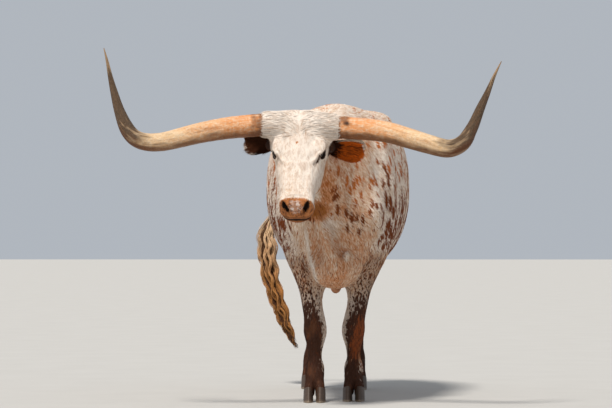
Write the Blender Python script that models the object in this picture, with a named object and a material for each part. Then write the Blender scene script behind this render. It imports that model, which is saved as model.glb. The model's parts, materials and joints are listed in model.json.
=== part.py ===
"""A texas longhorn steer, life size, standing square with its head turned a little to its right.

The animal faces -Y, its left side is +X and the ground is z = 0. The flesh is one rounded body, described
by forms that flow into each other (see Flesh), meshed, thinned and parted into head, neck, torso and legs by
thin cuts. Horns, ears, eyes, hooves and tail are pieces of their own, set in or against the flesh.
"""

import math
import random

import bmesh
import bpy
import numpy as np
from mathutils import Matrix, Vector

# Driving dimensions in metres and degrees. "Along" runs from the nose (-Y) to the tail (+Y), and y = 0
# is the line of the front cannons.
WITHERS_HEIGHT = 1.475
HIP_HEIGHT = 1.500
BRISKET_HEIGHT = 0.565
BARREL_HALF_WIDTH = 0.368
CHEST_FRONT = -0.38
RUMP_END = 1.45
ELBOW_HEIGHT = 0.78
KNEE_HEIGHT = 0.345
HOCK_HEIGHT = 0.51
FETLOCK_HEIGHT = 0.165
HEAD_LENGTH = 0.512
HEAD_PITCH = 65.0
HEAD_YAW = -5.0
HEAD_ROLL = 0.3
POLL = Vector((-0.157, -0.663, 1.398))
HORN_YAW = -2.0
HORN_ROLL = 2.1
HORN_AXIS = Vector((-0.157, -0.640, 1.327))
HORN_ROOT_OUT = 0.130
HORN_BASE_RADIUS = 0.0535
EYE_RADIUS = 0.0205
EAR_LENGTH = 0.185
EAR_HALF_WIDTH = 0.052
EAR_SKIN = 0.006
FRONT_FEET = {"right": (-0.103, -0.05), "left": (0.087, 0.05)}
HIND_FEET = {"right": (-0.150, 1.26), "left": (0.092, 1.18)}
# Moves the finished model so that its bounding box stands centred over the origin.
ORIGIN_SHIFT = Vector((0.152, -0.388, 0.0))

GAP = 0.0003
PLUG_GAP = 0.0005
# About how many triangles each piece of the flesh keeps before the pieces are parted.
TRIANGLES = {"torso": 2900, "neck": 800, "head": 4000, "leg": 1150}
SIDES = {"right": -1, "left": 1}


def flowing(rows, per_span):
    """Rows of numbers, with per_span smooth steps through each gap between them."""
    rows = np.array(rows, float)
    ends = np.vstack([2 * rows[0] - rows[1], rows, 2 * rows[-1] - rows[-2]])
    t = np.arange(per_span)[:, None] / per_span
    spans = []
    for a, b, c, d in zip(ends, ends[1:], ends[2:], ends[3:]):
        cubic = (3 * b - a - 3 * c + d) * t**3
        square = (2 * a - 5 * b + 4 * c - d) * t**2
        spans.append(0.5 * (2 * b + (c - a) * t + square + cubic))
    return np.vstack(spans + [rows[-1:]])


def unit(vector):
    return np.array(vector, float) / np.linalg.norm(vector)


def turned(yaw, roll):
    return Matrix.Rotation(math.radians(yaw), 3, "Z") @ Matrix.Rotation(math.radians(roll), 3, "Y")


# The head's own directions: down the face, out of it and to the animal's left.
HEAD_TURN = turned(HEAD_YAW, HEAD_ROLL)
HORN_TURN = turned(HORN_YAW, HORN_ROLL)
PITCH = math.radians(HEAD_PITCH)
FACE_DOWN = HEAD_TURN @ Vector((0, -math.cos(PITCH), -math.sin(PITCH)))
FACE_OUT = HEAD_TURN @ Vector((0, -math.sin(PITCH), math.cos(PITCH)))
FACE_SIDE = HEAD_TURN @ Vector((1, 0, 0))


def on_head(side, down, out):
    """A point of the head: sideways, down the face from the poll, and out from the line of the face."""
    return POLL + FACE_SIDE * side + FACE_DOWN * down + FACE_OUT * out


def by_horns(side, up, forward):
    """A point by the horns: sideways, up and forward of the middle of the horns' axis."""
    return HORN_AXIS + HORN_TURN @ Vector((side, -forward, up))


class Ellipsoid:
    """A rounded mass with its own centre, radii and axes."""

    def __init__(self, centre, radii, axes=((1, 0, 0), (0, 1, 0), (0, 0, 1))):
        self.centre = np.array(centre, float)
        self.radii = np.array(radii, float)
        self.axes = np.array([unit(axis) for axis in axes])
        reach = np.abs(self.axes.T) @ self.radii
        self.box = (self.centre - reach, self.centre + reach)

    def distance(self, points):
        local = (points - self.centre) @ self.axes.T / self.radii
        size = np.linalg.norm(local, axis=1)
        slope = np.linalg.norm(local / self.radii, axis=1)
        return size * (size - 1) / np.maximum(slope, 1e-9)


class Tube:
    """A limb along a path: rows of x, y, z, half width (sideways) and half depth (across that)."""

    def __init__(self, rows, per_span=4, sideways=(1, 0, 0)):
        self.rows = flowing(rows, per_span)
        self.sideways = np.array(sideways, float)
        reach = self.rows[:, 3:5].max(axis=1)[:, None]
        self.box = ((self.rows[:, :3] - reach).min(axis=0), (self.rows[:, :3] + reach).max(axis=0))

    def distance(self, points):
        nearest = np.full(len(points), 1e3)
        for start, end in zip(self.rows, self.rows[1:]):
            step = end[:3] - start[:3]
            length = np.linalg.norm(step)
            along = step / length
            side = unit(self.sideways - along * (self.sideways @ along))
            depth = np.cross(along, side)
            offset = points - start[:3]
            travel = offset @ along
            share = np.clip(travel / length, 0, 1)
            half_width = start[3] + (end[3] - start[3]) * share
            half_depth = start[4] + (end[4] - start[4]) * share
            over = (travel - share * length) / np.minimum(half_width, half_depth)
            u = offset @ side / half_width
            v = offset @ depth / half_depth
            size = np.sqrt(u * u + v * v + over * over)
            slope = np.sqrt((u / half_width) ** 2 + (v / half_depth) ** 2 + (over / half_width) ** 2)
            nearest = np.minimum(nearest, size * (size - 1) / np.maximum(slope, 1e-9))
        return nearest


class Bulk:
    """A long mass told by its outline. Rows: along, top, bottom, half width, squareness and top width.

    The axes are along, sideways and up. Squareness 2 is an ellipse and more is boxier, and the lower half is
    never squarer than most_square_below. Top width above 0 makes it wider over its middle than under.
    """

    def __init__(self, rows, most_square_below, origin=(0, 0, 0), axes=((0, 1, 0), (1, 0, 0), (0, 0, 1))):
        self.rows = flowing(rows, 6)
        self.most_square_below = most_square_below
        self.origin = np.array(origin, float)
        self.axes = np.array([unit(axis) for axis in axes])
        corners = [
            self.origin + np.array([row[0], sign * row[3] * 1.3, height]) @ self.axes
            for row in self.rows
            for sign in (-1, 1)
            for height in (row[1], row[2])
        ]
        self.box = (np.min(corners, axis=0), np.max(corners, axis=0))

    def distance(self, points):
        along, side, up = ((points - self.origin) @ self.axes.T).T
        stations = self.rows[:, 0]
        top, bottom, half, square, spread = (np.interp(along, stations, self.rows[:, i]) for i in range(1, 6))
        half_height = (top - bottom) / 2
        v = (up - (top + bottom) / 2) / half_height
        square = np.where(v < 0, np.minimum(square, self.most_square_below), square)
        width = half * (1 + spread * np.clip(v, -1, 1))
        size = (np.abs(side / width) ** square + np.abs(v) ** square) ** (1 / square)
        inside = (size - 1) * np.minimum(half, half_height)
        over = np.maximum(stations[0] - along, along - stations[-1])
        return np.maximum(inside, over)


class Flesh:
    """The whole body as forms, each joined to or carved from what came before with a rounded blend."""

    def __init__(self):
        self.steps = []

    def join(self, form, blend):
        self.steps.append((form, blend, 1))

    def carve(self, form, blend):
        self.steps.append((form, blend, -1))

    def distance(self, points, everywhere=False):
        """How far each point is outside. Unless everywhere is set, forms far from a point are skipped."""
        result = np.full(len(points), 1e3)
        for form, blend, sign in self.steps:
            low, high = form.box
            margin = blend + 0.05
            near = np.ones(len(points), bool)
            if not everywhere:
                near = ((points > low - margin) & (points < high + margin)).all(axis=1)
            if not near.any():
                continue
            old = sign * result[near]
            new = form.distance(points[near])
            mix = np.clip(0.5 + 0.5 * (old - new) / blend, 0, 1)
            result[near] = sign * (old + (new - old) * mix - blend * mix * (1 - mix))
        return result


def torso_forms(flesh):
    """Chest, barrel and rump, with the bones that show through them."""
    top, hip, low, half = WITHERS_HEIGHT, HIP_HEIGHT, BRISKET_HEIGHT, BARREL_HALF_WIDTH
    flesh.join(Bulk([
        (CHEST_FRONT, 0.97, 0.87, 0.05, 2.0, 0.0),
        (-0.34, 1.10, 0.73, 0.12, 2.1, 0.0),
        (-0.27, 1.21, low + 0.075, 0.175, 2.1, 0.0),
        (-0.18, 1.31, low + 0.022, 0.212, 2.1, -0.05),
        (-0.06, 1.400, low, 0.248, 2.1, -0.12),
        (0.08, top - 0.020, low + 0.020, 0.283, 2.3, -0.14),
        (0.22, top, low + 0.042, 0.318, 2.4, -0.10),
        (0.40, top - 0.006, low + 0.048, half - 0.022, 2.5, -0.04),
        (0.60, top - 0.010, low + 0.038, half, 2.6, 0.0),
        (0.78, top + 0.002, low + 0.050, half - 0.004, 2.6, 0.02),
        (0.95, hip - 0.004, low + 0.105, 0.335, 2.5, 0.03),
        (1.08, hip, low + 0.180, 0.288, 2.4, 0.04),
        (1.20, hip - 0.014, low + 0.275, 0.245, 2.3, 0.0),
        (1.31, hip - 0.050, low + 0.365, 0.198, 2.3, -0.06),
        (1.40, hip - 0.125, low + 0.455, 0.130, 2.2, -0.10),
        (RUMP_END, hip - 0.220, low + 0.575, 0.060, 2.0, 0.0),
    ], 2.15), 0.01)
    flesh.join(Tube([
        (0, 0.95, hip - 0.050, 0.040, 0.026),
        (0, 1.30, hip - 0.082, 0.036, 0.030),
        (0, RUMP_END - 0.03, hip - 0.118, 0.034, 0.032),
    ]), 0.05)
    flesh.join(Ellipsoid((0, -0.255, low + 0.105), (0.125, 0.135, 0.115)), 0.06)
    flesh.join(Ellipsoid((0, 0.55, low + 0.060), (0.18, 0.30, 0.055)), 0.10)
    flesh.join(Tube([
        (-0.004, 0.500, 0.625, 0.040, 0.045),
        (-0.008, 0.560, 0.580, 0.026, 0.030),
        (-0.010, 0.585, 0.541, 0.019, 0.022),
    ]), 0.04)
    for sign in SIDES.values():
        blade = ((1, 0, 0), (0, 0.94, -0.34), (0, 0.34, 0.94))
        flesh.join(Ellipsoid((sign * 0.195, 0.03, 1.10), (0.082, 0.150, 0.290), blade), 0.08)
        flesh.join(Ellipsoid((sign * 0.165, -0.225, 0.925), (0.070, 0.085, 0.105)), 0.07)
        flesh.join(Ellipsoid((sign * 0.215, 1.02, hip - 0.092), (0.060, 0.085, 0.046)), 0.08)
        flesh.join(Ellipsoid((sign * 0.105, 1.375, hip - 0.205), (0.046, 0.058, 0.060)), 0.06)
        flesh.join(Ellipsoid((sign * 0.150, 1.20, 1.06), (0.115, 0.185, 0.290)), 0.08)
        flesh.join(Ellipsoid((sign * 0.120, 1.325, 1.03), (0.082, 0.085, 0.230)), 0.07)
        flank = [(sign * 0.245, 0.86, 0.86, 0.05, 0.10), (sign * 0.225, 1.00, 0.82, 0.045, 0.08)]
        flesh.join(Tube(flank), 0.10)


def neck_forms(flesh):
    """The neck, bent to the animal's right, and the dewlap that hangs from throat to brisket."""
    flesh.join(Tube([
        (0, 0.10, 1.100, 0.170, 0.325),
        (0, -0.08, 1.108, 0.175, 0.312),
        (-0.018, -0.22, 1.120, 0.158, 0.268),
        (-0.057, -0.35, 1.148, 0.136, 0.215),
        (-0.100, -0.46, 1.185, 0.119, 0.168),
        (-0.135, -0.54, 1.225, 0.107, 0.138),
    ]), 0.09)
    flesh.join(Tube([
        (-0.126, -0.475, 1.055, 0.026, 0.045),
        (-0.100, -0.455, 0.965, 0.023, 0.062),
        (-0.062, -0.420, 0.865, 0.024, 0.074),
        (-0.026, -0.370, 0.765, 0.030, 0.080),
        (0, -0.300, 0.665, 0.042, 0.068),
    ]), 0.05)


def head_forms(flesh):
    """Skull, jaw, cheeks, eyelids, muzzle with its nostrils, and the line of the mouth."""
    axes = (FACE_SIDE, FACE_DOWN, FACE_OUT)
    flesh.join(Bulk([
        (-0.045, -0.100, -0.160, 0.050, 2.2, 0.0),
        (-0.030, -0.052, -0.195, 0.088, 2.2, 0.0),
        (0.000, -0.010, -0.222, 0.112, 2.3, 0.05),
        (0.050, 0.001, -0.243, 0.122, 2.4, 0.10),
        (0.110, 0.001, -0.260, 0.122, 2.4, 0.16),
        (0.170, 0.000, -0.266, 0.114, 2.3, 0.18),
        (0.220, -0.002, -0.254, 0.107, 2.3, 0.18),
        (0.280, -0.006, -0.224, 0.098, 2.4, 0.17),
        (0.340, -0.010, -0.188, 0.090, 2.5, 0.13),
        (0.395, -0.012, -0.162, 0.083, 2.5, 0.07),
        (0.435, -0.014, -0.154, 0.080, 2.5, 0.0),
        (0.462, -0.026, -0.153, 0.079, 2.6, 0.0),
        (0.485, -0.048, -0.152, 0.073, 2.6, 0.0),
        (0.502, -0.070, -0.147, 0.060, 2.5, 0.0),
        (HEAD_LENGTH, -0.088, -0.136, 0.040, 2.3, 0.0),
    ], 2.6, POLL, (FACE_DOWN, FACE_SIDE, FACE_OUT)), 0.045)
    boss = [by_horns(side, 0.004 - 0.02 * abs(side), 0) for side in (-0.150, -0.08, 0, 0.08, 0.150)]
    radii = (0.064, 0.065, 0.060, 0.065, 0.064)
    flesh.join(Tube([(*point, r, r) for point, r in zip(boss, radii)], sideways=FACE_DOWN), 0.035)
    for sign in SIDES.values():
        flesh.join(Ellipsoid(on_head(sign * 0.072, 0.245, -0.150), (0.034, 0.105, 0.085), axes), 0.04)
        flesh.join(Ellipsoid(on_head(sign * 0.098, 0.170, -0.034), (0.030, 0.044, 0.024), axes), 0.025)
        eye = eye_centre(sign)
        flesh.join(Ellipsoid(eye, (0.030, 0.037, 0.030), axes), 0.018)
        gaze, slit = eye_gaze(sign), eye_slit(sign)
        opening = (0.022, 0.0205, 0.0110)
        flesh.carve(Ellipsoid(eye + 0.022 * gaze, opening, (gaze, slit, np.cross(gaze, slit))), 0.004)
        flesh.join(Ellipsoid(on_head(sign * 0.046, 0.450, -0.052), (0.031, 0.036, 0.034), axes), 0.02)
        flesh.join(Ellipsoid(on_head(sign * 0.032, 0.468, -0.092), (0.044, 0.036, 0.024), axes), 0.02)
        nostril = on_head(sign * 0.043, 0.484, -0.054)
        flesh.carve(Ellipsoid(nostril, (0.0085, 0.024, 0.028), nostril_axes(sign)), 0.005)
        flesh.join(Tube([(*by_horns(*point), r, r) for point, r in ear_stub(sign)]), 0.03)
    flesh.join(Ellipsoid(on_head(0, 0.466, -0.134), (0.050, 0.042, 0.024), axes), 0.02)
    flesh.carve(Tube([(*point, 0.0052, 0.0052) for point in mouth_line(flesh)], sideways=FACE_OUT), 0.003)


def mouth_line(flesh):
    """Points on the skin along the closed lips, from one corner of the mouth to the other."""
    half = []
    for down, out in ((0.350, -0.128), (0.385, -0.127), (0.425, -0.123), (0.460, -0.118)):
        half.append(to_skin(flesh, on_head(0.15, down, out), -FACE_SIDE))
    for side in (0.058, 0.030):
        half.append(to_skin(flesh, on_head(side, 0.56, -0.113), -FACE_DOWN))
    middle = to_skin(flesh, on_head(0, 0.56, -0.112), -FACE_DOWN)
    mirrored = [point - 2 * ((point - POLL) @ FACE_SIDE) * np.array(FACE_SIDE) for point in half]
    return [*half, middle, *reversed(mirrored)]


def to_skin(flesh, start, direction):
    """Where the skin is met from a point outside it."""
    point, direction = np.array(start), np.array(direction)
    for _ in range(30):
        point = point + direction * 0.8 * flesh.distance(point[None])[0]
    return point


def nostril_axes(sign):
    """Across a nostril's slit, along it and into the head. It leans inwards as it goes down."""
    slit = unit(FACE_DOWN * 0.52 - FACE_OUT * 0.80 - sign * FACE_SIDE * 0.34)
    inward = np.array(FACE_DOWN * 0.84 + FACE_OUT * 0.55 + sign * FACE_SIDE * 0.15)
    inward = unit(inward - slit * (inward @ slit))
    return np.cross(slit, inward), slit, inward


def eye_gaze(sign):
    """The way an eye looks: mostly sideways, and a little forward."""
    return unit(sign * FACE_SIDE * 0.78 + FACE_OUT * 0.56 + FACE_DOWN * 0.22)


def eye_slit(sign):
    """The line from one corner of the eye to the other, square to the gaze."""
    gaze = eye_gaze(sign)
    line = np.array(FACE_DOWN * 0.96 + FACE_OUT * 0.27)
    return unit(line - gaze * (line @ gaze))


def eye_centre(sign):
    return np.array(on_head(sign * 0.096, 0.205, -0.052))


def ear_root(sign):
    """Where an ear leaves the head, by the horns' axis, and the way it points."""
    pointing = {1: (0.95, -0.10, -0.28), -1: (0.86, 0.08, -0.50)}[sign]
    return np.array((sign * 0.136, -0.092, -0.045)), unit((sign * pointing[0], pointing[1], pointing[2]))


def ear_stub(sign):
    """The rise of the head under an ear, by the horns' axis."""
    root, pointing = ear_root(sign)
    stations = ((-0.060, 0.040), (-0.022, 0.036), (0.002, 0.029))
    return [(root + at * pointing, radius) for at, radius in stations]


def foreleg_rows(side):
    """A foreleg from the shoulder to the coronet. What it steps forward or back grows towards the foot."""
    foot_side, foot_along = FRONT_FEET[side]
    sign = SIDES[side]
    plan = [
        (0.195, 0.020, 1.05, 0.075, 0.160),
        (0.198, 0.030, 0.92, 0.080, 0.150),
        (0.180, 0.045, ELBOW_HEIGHT, 0.074, 0.122),
        (0.150, 0.030, 0.66, 0.064, 0.096),
        (0.124, 0.010, 0.56, 0.057, 0.078),
        (0.109, -0.005, 0.46, 0.051, 0.061),
        (0.099, -0.010, KNEE_HEIGHT + 0.060, 0.053, 0.056),
        (0.094, -0.015, KNEE_HEIGHT, 0.058, 0.057),
        (0.094, -0.005, KNEE_HEIGHT - 0.055, 0.044, 0.045),
        (0.095, 0.000, 0.24, 0.035, 0.038),
        (0.096, 0.000, 0.20, 0.037, 0.040),
        (0.096, -0.002, FETLOCK_HEIGHT, 0.048, 0.046),
        (0.096, -0.020, 0.125, 0.044, 0.041),
    ]
    rows = []
    for out, along, height, half_width, half_depth in plan:
        lower = np.clip((ELBOW_HEIGHT - height) / (ELBOW_HEIGHT - FETLOCK_HEIGHT), 0, 1)
        across = sign * out + (foot_side - sign * 0.096) * min(lower * 1.4, 1)
        rows.append((across, along + foot_along * lower, height, half_width, half_depth))
    return rows


def hindleg_rows(side):
    """A hind leg from the hip to the pastern, with the bend of stifle and hock."""
    foot_side, foot_along = HIND_FEET[side]
    sign = SIDES[side]
    plan = [
        (0.150, -0.055, 1.12, 0.120, 0.235),
        (0.160, -0.052, 0.98, 0.114, 0.238),
        (0.165, -0.064, 0.87, 0.100, 0.228),
        (0.158, -0.066, 0.77, 0.082, 0.190),
        (0.142, -0.040, 0.67, 0.062, 0.140),
        (0.129, -0.002, 0.58, 0.048, 0.095),
        (0.122, 0.022, HOCK_HEIGHT, 0.044, 0.066),
        (0.120, 0.028, HOCK_HEIGHT - 0.055, 0.043, 0.053),
        (0.120, 0.022, 0.40, 0.037, 0.044),
        (0.120, 0.012, 0.31, 0.034, 0.038),
        (0.120, 0.005, 0.22, 0.035, 0.039),
        (0.120, 0.000, FETLOCK_HEIGHT, 0.046, 0.045),
        (0.120, -0.020, 0.125, 0.043, 0.040),
    ]
    rows = []
    for out, along, height, half_width, half_depth in plan:
        lower = np.clip((0.98 - height) / (0.98 - 0.125), 0, 1)
        across = sign * out + (foot_side - sign * 0.120) * lower
        rows.append((across, 1.225 + along + (foot_along - 1.225) * lower, height, half_width, half_depth))
    return rows


TOE_SPREAD = 0.0275
CORONET_SLOPE = 0.29
CORONET_HEIGHT = 0.063
HOOF_FORWARD = 0.045


def feet():
    """Each foot's name with the place of the fetlock's plumb line on the ground."""
    for side in SIDES:
        yield "fore_" + side, FRONT_FEET[side]
        yield "hind_" + side, HIND_FEET[side]


def foot_forms(flesh, place):
    """The two toes between the fetlock and the hooves."""
    across, along = place
    for sign in (-1, 1):
        flesh.join(Tube([
            (across + sign * 0.014, along - 0.012, 0.135, 0.030, 0.034),
            (across + sign * 0.022, along - 0.030, 0.095, 0.026, 0.036),
            (across + sign * TOE_SPREAD, along - HOOF_FORWARD + 0.004, 0.055, 0.0262, 0.050),
            (across + sign * TOE_SPREAD, along - HOOF_FORWARD + 0.004, 0.030, 0.0262, 0.050),
        ]), 0.012)


def leg_forms(flesh):
    for side, sign in SIDES.items():
        rows = foreleg_rows(side)
        flesh.join(Tube(rows), 0.07)
        elbow_along = rows[2][1] + 0.095
        flesh.join(Ellipsoid((sign * 0.190, elbow_along, ELBOW_HEIGHT + 0.015), (0.040, 0.045, 0.060)), 0.05)
        rows = hindleg_rows(side)
        flesh.join(Tube(rows), 0.07)
        hock = rows[6]
        gaskin = rows[3]
        tendon = [
            (gaskin[0], gaskin[1] + 0.085, gaskin[2], 0.026, 0.030),
            ((gaskin[0] + hock[0]) / 2, hock[1] + 0.040, 0.63, 0.015, 0.022),
            (hock[0], hock[1] + 0.050, HOCK_HEIGHT + 0.040, 0.019, 0.024),
            (hock[0], hock[1] + 0.030, HOCK_HEIGHT - 0.030, 0.020, 0.024),
        ]
        flesh.join(Tube(tendon), 0.025)
    for _, place in feet():
        foot_forms(flesh, place)


def steer_flesh():
    flesh = Flesh()
    torso_forms(flesh)
    neck_forms(flesh)
    leg_forms(flesh)
    head_forms(flesh)
    return flesh


def field_on_grid(flesh, low, shape, cell, block=6):
    """The flesh's distance at every grid point, worked out finely only near the skin."""
    blocks = [-(-n // block) for n in shape]
    centres = np.stack(np.meshgrid(*[np.arange(n) for n in blocks], indexing="ij"), -1).reshape(-1, 3)
    coarse = flesh.distance(low + (centres + 0.5) * block * cell, everywhere=True).reshape(blocks)
    values = coarse
    for axis in range(3):
        values = np.repeat(values, block, axis=axis)
    values = values[: shape[0], : shape[1], : shape[2]].copy()
    near = np.argwhere(np.abs(values) < 1.6 * block * cell + 0.02)
    values[tuple(near.T)] = flesh.distance(low + near * cell)
    for axis in range(3):
        ends = np.moveaxis(values, axis, 0)
        ends[[0, -1]] = np.maximum(ends[[0, -1]], cell / 2)
    return values


def fill_pinches(values, cell):
    """Fills the grid points where the skin would touch itself along an edge."""
    for _ in range(3):
        for axis in range(3):
            grid = np.moveaxis(values, axis, 0)
            for a, b, c, d in (
                (grid[:, :-1, :-1], grid[:, 1:, 1:], grid[:, 1:, :-1], grid[:, :-1, 1:]),
                (grid[:, 1:, :-1], grid[:, :-1, 1:], grid[:, :-1, :-1], grid[:, 1:, 1:]),
            ):
                pinch = (a < 0) & (b < 0) & (c >= 0) & (d >= 0)
                c[pinch] = -0.05 * cell


def skin_net(flesh, low, high, cell):
    """A closed net of quads on the flesh's skin inside a box, closed off at the box's own walls."""
    low = np.array(low, float)
    shape = [int(math.ceil(side / cell)) + 1 for side in np.array(high) - low]
    values = field_on_grid(flesh, low, shape, cell)
    fill_pinches(values, cell)
    inside = values < 0
    corners = np.array([(i, j, k) for i in (0, 1) for j in (0, 1) for k in (0, 1)])
    counts = sum(
        inside[i : shape[0] - 1 + i, j : shape[1] - 1 + j, k : shape[2] - 1 + k].astype(np.int8)
        for i, j, k in corners
    )
    cells = np.argwhere((counts > 0) & (counts < 8))
    number = np.full([n - 1 for n in shape], -1)
    number[tuple(cells.T)] = np.arange(len(cells))
    total, crossings = np.zeros((len(cells), 3)), np.zeros(len(cells))
    for a in corners:
        for b in corners:
            if (b - a).sum() != 1 or np.abs(b - a).sum() != 1:
                continue
            start = values[tuple((cells + a).T)]
            end = values[tuple((cells + b).T)]
            crossed = (start < 0) != (end < 0)
            share = np.where(crossed, start / np.where(crossed, start - end, 1), 0)
            total[crossed] += (a + (b - a) * share[:, None])[crossed]
            crossings += crossed
    points = low + (cells + total / crossings[:, None]) * cell
    quads = []
    for axis in range(3):
        step = np.eye(3, dtype=int)[axis]
        one, two = (np.eye(3, dtype=int)[(axis + n) % 3] for n in (1, 2))
        first = inside[tuple(slice(0, n - s) for n, s in zip(shape, step))]
        second = inside[tuple(slice(s, n) for n, s in zip(shape, step))]
        edges = np.argwhere(first != second)
        leaving = first[tuple(edges.T)]
        ring = [number[tuple((edges - shift).T)] for shift in (one + two, two, 0 * one, one)]
        faces = np.stack(ring, 1)
        quads.append(np.where(leaving[:, None], faces, faces[:, ::-1]))
    return points, np.vstack(quads)


def mesh_object(name, points, faces):
    mesh = bpy.data.meshes.new(name)
    mesh.from_pydata([tuple(p) for p in points], [], [tuple(int(i) for i in f) for f in faces])
    obj = bpy.data.objects.new(name, mesh)
    bpy.context.scene.collection.objects.link(obj)
    return obj


def bake(obj):
    """Puts what an object's modifiers make into its mesh."""
    graph = bpy.context.evaluated_depsgraph_get()
    mesh = bpy.data.meshes.new_from_object(obj.evaluated_get(graph))
    obj.modifiers.clear()
    old = obj.data
    obj.data = mesh
    bpy.data.meshes.remove(old)


def thinned(obj, triangles):
    """Keeps about that many triangles, most of them where the shape bends."""
    now = sum(len(face.vertices) - 2 for face in obj.data.polygons)
    if now > triangles:
        modifier = obj.modifiers.new("thin", "DECIMATE")
        modifier.ratio = triangles / now
        modifier.use_collapse_triangulate = True
        bake(obj)


def edited(obj, work):
    """Runs work on the object's mesh as a bmesh."""
    net = bmesh.new()
    net.from_mesh(obj.data)
    work(net)
    net.to_mesh(obj.data)
    net.free()
    obj.data.update()


def keep_largest(net):
    """Deletes every closed surface but the one that encloses most."""
    left, shells = set(net.faces), []
    while left:
        shell, queue = set(), [left.pop()]
        while queue:
            face = queue.pop()
            shell.add(face)
            for edge in face.edges:
                for other in edge.link_faces:
                    if other in left:
                        left.remove(other)
                        queue.append(other)
        shells.append(shell)
    shells.sort(key=lambda shell: sum(face.calc_area() for face in shell))
    loose = [face for shell in shells[:-1] for face in shell]
    if loose:
        bmesh.ops.delete(net, geom=loose, context="FACES")


def cut_by(obj, planes, offset):
    """Keeps what is behind every plane (a point and a normal), each moved by offset, and caps the cuts."""

    def work(net):
        for point, normal in planes:
            normal = Vector(normal).normalized()
            geometry = net.verts[:] + net.edges[:] + net.faces[:]
            place = Vector(point) + normal * offset
            bmesh.ops.bisect_plane(
                net, geom=geometry, dist=1e-6, plane_co=place, plane_no=normal, clear_outer=True
            )
            rim = [edge for edge in net.edges if edge.is_boundary]
            bmesh.ops.holes_fill(net, edges=rim, sides=0)
        keep_largest(net)
        bmesh.ops.recalc_face_normals(net, faces=net.faces[:])

    edited(obj, work)


def wedge(name, planes, offset):
    """The closed solid behind all these planes, as a cutter."""
    size = 4.0
    corners = [(x, y, z) for x in (-size, size) for y in (-size, size) for z in (-size, size)]
    faces = [(0, 1, 3, 2), (4, 6, 7, 5), (0, 4, 5, 1), (2, 3, 7, 6), (0, 2, 6, 4), (1, 5, 7, 3)]
    obj = mesh_object(name, corners, faces)
    cut_by(obj, planes, offset)
    return obj


def subtract(obj, cutter):
    """Cuts one solid out of another, and deletes the cutter and any scrap."""
    modifier = obj.modifiers.new("cut", "BOOLEAN")
    modifier.operation = "DIFFERENCE"
    modifier.solver = "MANIFOLD"
    modifier.object = cutter
    bake(obj)
    bpy.data.objects.remove(cutter)
    edited(obj, keep_largest)


def fused(name, pieces):
    """One closed solid from overlapping closed pieces."""
    group = bpy.data.collections.new(name + "_pieces")
    bpy.context.scene.collection.children.link(group)
    first, rest = pieces[0], pieces[1:]
    for piece in rest:
        bpy.context.scene.collection.objects.unlink(piece)
        group.objects.link(piece)
    modifier = first.modifiers.new("join", "BOOLEAN")
    modifier.operation = "UNION"
    modifier.operand_type = "COLLECTION"
    modifier.collection = group
    modifier.solver = "MANIFOLD"
    bake(first)
    for piece in rest:
        bpy.data.objects.remove(piece)
    bpy.data.collections.remove(group)
    edited(first, keep_largest)
    first.name = name
    return first


def skinned(name, flesh, low, high, cell, triangles):
    points, quads = skin_net(flesh, low, high, cell)
    obj = mesh_object(name, points, quads)
    edited(obj, keep_largest)
    thinned(obj, triangles)
    return obj


# The thin cuts that part the flesh, each a point and a normal that leaves the named piece.
NECK_BASE = ((0, 0.02, 1.46), (0, -0.907, 0.421))
HEAD_BACK_UPPER = on_head(0, -0.018, -0.090)
HEAD_BACK_LOWER = on_head(0, 0.253, -0.248)
HEAD_BACK = (HEAD_BACK_UPPER, FACE_SIDE.cross(HEAD_BACK_LOWER - HEAD_BACK_UPPER))


def flipped(plane):
    return plane[0], tuple(-n for n in plane[1])


def foreleg_planes(side):
    """The wedge that holds a foreleg: under a slope from the armpit to outside the elbow."""
    sign = SIDES[side]
    return [
        ((sign * 0.075, 0, 0.575), (-sign * 0.815, 0, 0.580)),
        ((0, 0.200, 0.70), (0, 0.97, 0.24)),
        ((0, -0.250, 0.70), (0, -1, 0)),
        ((sign * 0.004, 0, 0), (-sign, 0, 0)),
    ]


def hindleg_planes(side):
    """The wedge that holds a hind leg: under a slope from the groin over the thigh, behind the flank."""
    sign = SIDES[side]
    return [
        ((sign * 0.030, 0, 0.730), (-sign * 0.76, 0, 0.65)),
        ((0, 0.93, 0.80), (0, -0.96, -0.28)),
        ((sign * 0.002, 0, 0), (-sign, 0, 0)),
    ]


def coronet_plane(place):
    """The slanting plane between a foot's hooves and its skin; its normal leaves the skin."""
    across, along = place
    return (across, along - HOOF_FORWARD, CORONET_HEIGHT), (0, -CORONET_SLOPE, -1)


def make_torso(flesh):
    torso = skinned("torso", flesh, (-0.46, -0.52, 0.49), (0.46, 1.53, 1.53), 0.012, TRIANGLES["torso"])
    cut_by(torso, [NECK_BASE], -GAP / 2)
    for side in SIDES:
        for planes in (foreleg_planes(side), hindleg_planes(side)):
            subtract(torso, wedge("leg_cutter", planes, GAP / 2))
    subtract(torso, swept("tail_socket", tail_rows(0, 2 * TAIL_STEPS), TAIL_SIDES, PLUG_GAP))
    return torso


def make_neck(flesh):
    neck = skinned("neck", flesh, (-0.34, -0.68, 0.52), (0.34, 0.12, 1.52), 0.012, TRIANGLES["neck"])
    cut_by(neck, [flipped(NECK_BASE), flipped(HEAD_BACK)], -GAP / 2)
    for sign in SIDES.values():
        subtract(neck, ear_socket(sign))
    return neck


def make_head(flesh):
    low, high = np.array((-0.39, -0.97, 0.84)), np.array((0.13, -0.50, 1.44))
    head = skinned("head", flesh, low, high, 0.0055, TRIANGLES["head"])
    cut_by(head, [HEAD_BACK], -GAP / 2)
    for side, sign in SIDES.items():
        subtract(head, horn(side, PLUG_GAP, HORN_SOCKET_ROWS))
        subtract(head, ear_socket(sign))
        subtract(head, eyeball("eye_socket", sign, EYE_RADIUS + PLUG_GAP))
    return head


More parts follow.
